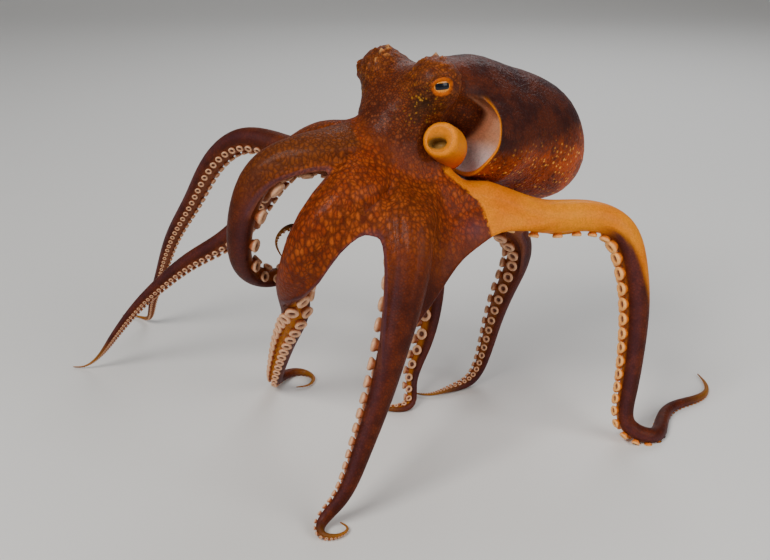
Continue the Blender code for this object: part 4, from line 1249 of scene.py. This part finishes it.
def skin_finish():
    """Moist skin: netted crown, dark mantle, warty head, violet-brown arms and bare orange parts, with
    painted violet sheen along the arms' sides and the webs' margins.
    """
    made, net, place = new_finish("moist skin")
    times, step, kept = net.times, net.step, net.kept
    tall = net.node("Mapping", {"Vector": place, "Scale": (1.0, 1.0, 0.56)}).outputs[0]
    cells = net.use(CELLS, Vector=tall, Scale=610.0, Warp=0.0021, Vein=0.26)
    fine = net.use(CELLS, Vector=place, Scale=820.0, Warp=0.0008, Vein=0.30)
    grain = net.use(GRAIN, Vector=place, Scale=1700.0)
    broad = net.noise(place, 110.0, 3.0, 0.55)
    soft = step(net.noise(place, 34.0, 3.0, 0.55), 0.35, 0.65)
    blotch = step(broad, 0.38, 0.62)

    veins = net.math("MAXIMUM", times(cells["Veins"], 0.66), times(cells["Rings"], 0.76))
    # painted shade: the net turned to a dark brown on arms that lie in shade, as much as dull gives
    shaded_net = net.mix(times(cells["Veins"], 0.7), (0.130, 0.036, 0.007), (0.048, 0.011, 0.004))
    crown = net.coats(net.mix(cells["Tint"], (0.23, 0.034, 0.004), (0.42, 0.086, 0.009)),
                      (times(soft, 0.65), (0.24, 0.028, 0.003)),
                      (times(veins, step(kept("near"), 0.35, 1.0, 0.60, 1.0)), (0.056, 0.009, 0.003)),
                      (times(kept("dull"), 0.8), shaded_net))

    low = times(kept("belly"), step(broad, 0.36, 0.60, 0.55, 1.0))
    specks = net.use(SPECKS, Vector=place, Scale=520.0, Share=0.75, Size=0.29)[0]
    mantle = net.coats(net.mix(blotch, (0.036, 0.008, 0.005), (0.085, 0.017, 0.006)),
                       (times(fine["Veins"], 0.45), (0.020, 0.005, 0.005)),
                       (times(low, step(fine["Tint"], -0.4, 0.6)), (0.42, 0.062, 0.002)),
                       (times(low, specks), (0.95, 0.42, 0.06)))

    arm = net.coats(net.mix(blotch, (0.058, 0.009, 0.003), (0.108, 0.018, 0.004)),
                    (times(fine["Veins"], 0.35), (0.018, 0.005, 0.005)))

    flecks = net.use(SPECKS, Vector=place, Scale=720.0, Share=0.75, Size=0.36)[0]
    head = net.coats(net.mix(soft, (0.085, 0.016, 0.004), (0.160, 0.028, 0.005)),
                     (times(blotch, 0.5), (0.070, 0.012, 0.006)),
                     (step(fine["Tint"], 0.50, 0.90), (0.185, 0.042, 0.012)),
                     (times(fine["Veins"], 0.70), (0.030, 0.008, 0.004)),
                     (times(kept("wart"), step(fine["Veins"], 0.0, 1.0, 0.9, 0.35)), (0.42, 0.112, 0.012)),
                     (times(kept("dark_patch"), step(broad, 0.40, 0.60, 0.15, 0.8)), (0.022, 0.012, 0.005)),
                     (times(kept("dark_patch"), flecks), (0.46, 0.21, 0.022)),
                     # painted highlight: pale gold on the spikes' apexes
                     (kept("tip"), (0.85, 0.47, 0.16)))

    oral = net.mix(broad, (0.16, 0.042, 0.018), (0.28, 0.085, 0.036))
    oral = net.mix(kept("amber"), oral, net.mix(broad, (0.34, 0.085, 0.004), (0.55, 0.190, 0.012)))
    bright = net.coats(net.mix(soft, (0.60, 0.150, 0.0), (0.70, 0.230, 0.0)),
                       (times(fine["Veins"], 0.12), (0.42, 0.075, 0.0)))
    beyond, up = orange_edge(net, place, cells["Tint"])
    bare = times(beyond, kept("bare"))
    ruddy = net.mix(step(up, 0.121, 0.131), (0.52, 0.075, 0.0), (0.64, 0.190, 0.0))
    # inside the opening: pale low down, and tan towards its top as painted shade
    pale = net.mix(kept("pale"), (0.60, 0.29, 0.16), (0.97, 0.86, 0.86))
    colour = net.coats(arm, (kept("near"), crown), (kept("head"), head), (kept("mantle"), mantle),
                       # violet: painted violet sheen along arm sides and web margins
                       (kept("under"), oral), (kept("violet"), (0.080, 0.034, 0.050)), (bare, bright),
                       (kept("funnel"), ruddy), (kept("hollow"), pale),
                       (kept("rim"), (0.80, 0.235, 0.0)), (kept("lid"), (0.50, 0.100, 0.0)),
                       # bore: painted shade, a dark brown inside the funnel's bore
                       (kept("bore"), (0.30, 0.160, 0.040)), (kept("gold_tip"), (0.34, 0.13, 0.012)))

    netted = times(cells["Height"], times(kept("near"), 0.00022))
    finer = times(fine["Height"], net.math("MULTIPLY_ADD", kept("mantle"), -0.00005, 0.00009))
    pores = times(grain["Height"], 0.00011)
    smoother = net.math("SUBTRACT", 1.0, times(net.math("MAXIMUM", bare, kept("funnel")), 0.75))
    height = times(net.math("ADD", netted, net.math("ADD", finer, pores)), smoother)
    return dress(made, net, mottled(net, colour, grain["Mottle"], 0.5), height, 0.9,
                 step(grain["Mottle"], 0.2, 0.8, 0.42, 0.58), SKIN_GLOSS)


def cup_finish():
    """Suckers: pale rims, pinkish walls and a dark middle of painted shade, warmer on the orange arm."""
    made, net, place = new_finish("sucker skin")
    warm = net.kept("warm")
    grain = net.use(GRAIN, Vector=place, Scale=2200.0)
    wall = net.mix(warm, (0.20, 0.055, 0.035), (0.62, 0.15, 0.01))
    lip = net.mix(warm, (0.60, 0.36, 0.25), (0.90, 0.42, 0.12))
    colour = net.coats(wall, (net.step(net.kept("cup"), 0.15, 0.85), lip),
                       # painted shade darkening the cup's sunken middle
                       (net.kept("cup_shade"), (0.15, 0.045, 0.022)))
    return dress(made, net, mottled(net, colour, grain["Mottle"], 0.4), net.times(grain["Height"], 0.0001),
                 1.0, net.step(grain["Mottle"], 0.2, 0.8, 0.28, 0.45), CUP_GLOSS)


def eye_finish():
    """Wet eye: a dark bar pupil in a gold iris that darkens outwards.

    The pupil is where (across / its half size)^5 + (up / its half size)^5 stays below one.
    """
    made, net, place = new_finish("wet eye")
    x, y, z = net.kept("gaze_x"), net.kept("gaze_y"), net.kept("gaze_z")
    wide, high = (net.math("POWER", net.math("ABSOLUTE", net.math("DIVIDE", value, half)), 5.0)
                  for value, half in ((x, PUPIL_ACROSS), (y, PUPIL_UP)))
    inside = net.math("ADD", wide, high)
    flecks = net.noise(place, 2600.0, 3.0, 0.6)
    far = net.math("SQRT", net.math("ADD", net.times(x, x), net.times(y, y)))
    colour = net.coats(net.mix(net.step(flecks, 0.35, 0.65), (0.62, 0.15, 0.004), (0.90, 0.33, 0.012)),
                       (net.step(far, 2.6, 4.0), (0.22, 0.045, 0.004)),
                       (net.times(net.step(inside, 1.0, 3.2, 1.0, 0.0), 0.35), (0.95, 0.55, 0.12)),
                       (net.step(inside, 0.7, 1.35, 1.0, 0.0), (0.003, 0.004, 0.008)))
    colour = net.mix(net.step(z, 0.1, 0.45), (0.10, 0.03, 0.01), colour)
    return dress(made, net, colour, net.times(flecks, 0.00008), 0.5,
                 net.step(flecks, 0.3, 0.7, 0.12, 0.22), EYE_GLOSS)


# ---------------------------------------------------------------- floor, light and camera
FLOOR_REACH = 30.0
FLOOR_BEND = 1.2
BEND_RADIUS = 1.0
WALL_TOP = 4.0
BEND_ROWS = 24


def floor_object():
    """A pale floor whose back rises in a quarter of a circle: 1 - (1 - t^2)^0.5 over a run of t."""
    t = np.linspace(0.0, 1.0, BEND_ROWS)
    wall = FLOOR_BEND + BEND_RADIUS
    run = np.concatenate([[-FLOOR_REACH], np.linspace(FLOOR_BEND, wall, BEND_ROWS), [wall]])
    rise = np.concatenate([[0.0], BEND_RADIUS * (1.0 - np.sqrt(1.0 - t ** 2)), [WALL_TOP]])
    x = np.array([-FLOOR_REACH, FLOOR_REACH])
    points = np.stack(np.broadcast_arrays(x[None, :], run[:, None], rise[:, None]), -1)
    index = np.arange(points.shape[0] * 2).reshape(-1, 2)
    paint = bpy.data.materials.new("floor")
    paint.use_nodes = True
    shine(paint, FLOOR_PAINT)
    return put_mesh("floor", points.reshape(-1, 3), quads_of(index, flip=True), {}, paint)


def area_light(name, place, size, power, colour):
    """A soft square light at a place, turned to the animal's middle."""
    data = bpy.data.lights.new(name, "AREA")
    data.shape = "SQUARE"
    data.size = size
    data.energy = power
    data.color = colour
    made = put_object(name, data)
    made.location = place
    back = unit(np.array(place) - np.array(LIGHT_AIM))
    side = unit(np.cross(np.array([0.0, 0.0, 1.0]), back))
    made.rotation_euler = (math.acos(back[2]), 0.0, math.atan2(side[1], side[0]))


def make_world():
    """Even pale surroundings."""
    world = bpy.data.worlds.new("surroundings")
    world.use_nodes = True
    sky = world.node_tree.nodes["Background"]
    sky.inputs["Color"].default_value = (0.95, 0.97, 1.0, 1.0)
    sky.inputs["Strength"].default_value = 0.24
    bpy.context.scene.world = world


def make_camera():
    """Level camera a little above the animal, looking gently down."""
    data = bpy.data.cameras.new("camera")
    data.lens = 50.0
    data.sensor_width = 36.0
    made = put_object("camera", data)
    made.location = (-0.0001, -0.4308, 0.2367)
    made.rotation_euler = (math.radians(68.0), 0.0, 0.0)
    bpy.context.scene.camera = made


LIGHT_AIM = (0.0, 0.0, 0.08)
# name, place in metres, size in metres, power in watts and colour
LIGHTS = [("key", (-0.55, -0.75, 0.95), 0.55, 13.0, (1.0, 0.97, 0.93)),
          ("fill", (0.75, -0.55, 0.55), 0.7, 6.0, (1.0, 0.98, 0.96)),
          ("back", (0.25, 0.8, 0.75), 0.6, 4.0, (0.93, 0.96, 1.0))]


def main():
    """Skin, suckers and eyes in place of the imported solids, then the floor, light and camera."""
    limbs = ["arm_" + arm[0] + "_" + part for arm in ARMS for part in ("base", "middle", "tip")]
    webs = ["web_" + web[0] for web in WEBS]
    skin = make_skin(skin_finish())
    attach(skin, "root")
    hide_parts("head", "mantle", "funnel", *limbs, *webs)
    cup_skin = cup_finish()
    for k in range(8):
        cups = make_suckers(k, cup_skin)
        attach(cups, "root")
    wet = eye_finish()
    for side, node in ((1, "eye_left"), (-1, "eye_right")):
        ball = make_eye(side, wet)
        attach(ball, "root")
        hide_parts(node)
    floor_object()
    for light in LIGHTS:
        area_light(*light)
    make_world()
    make_camera()


main()
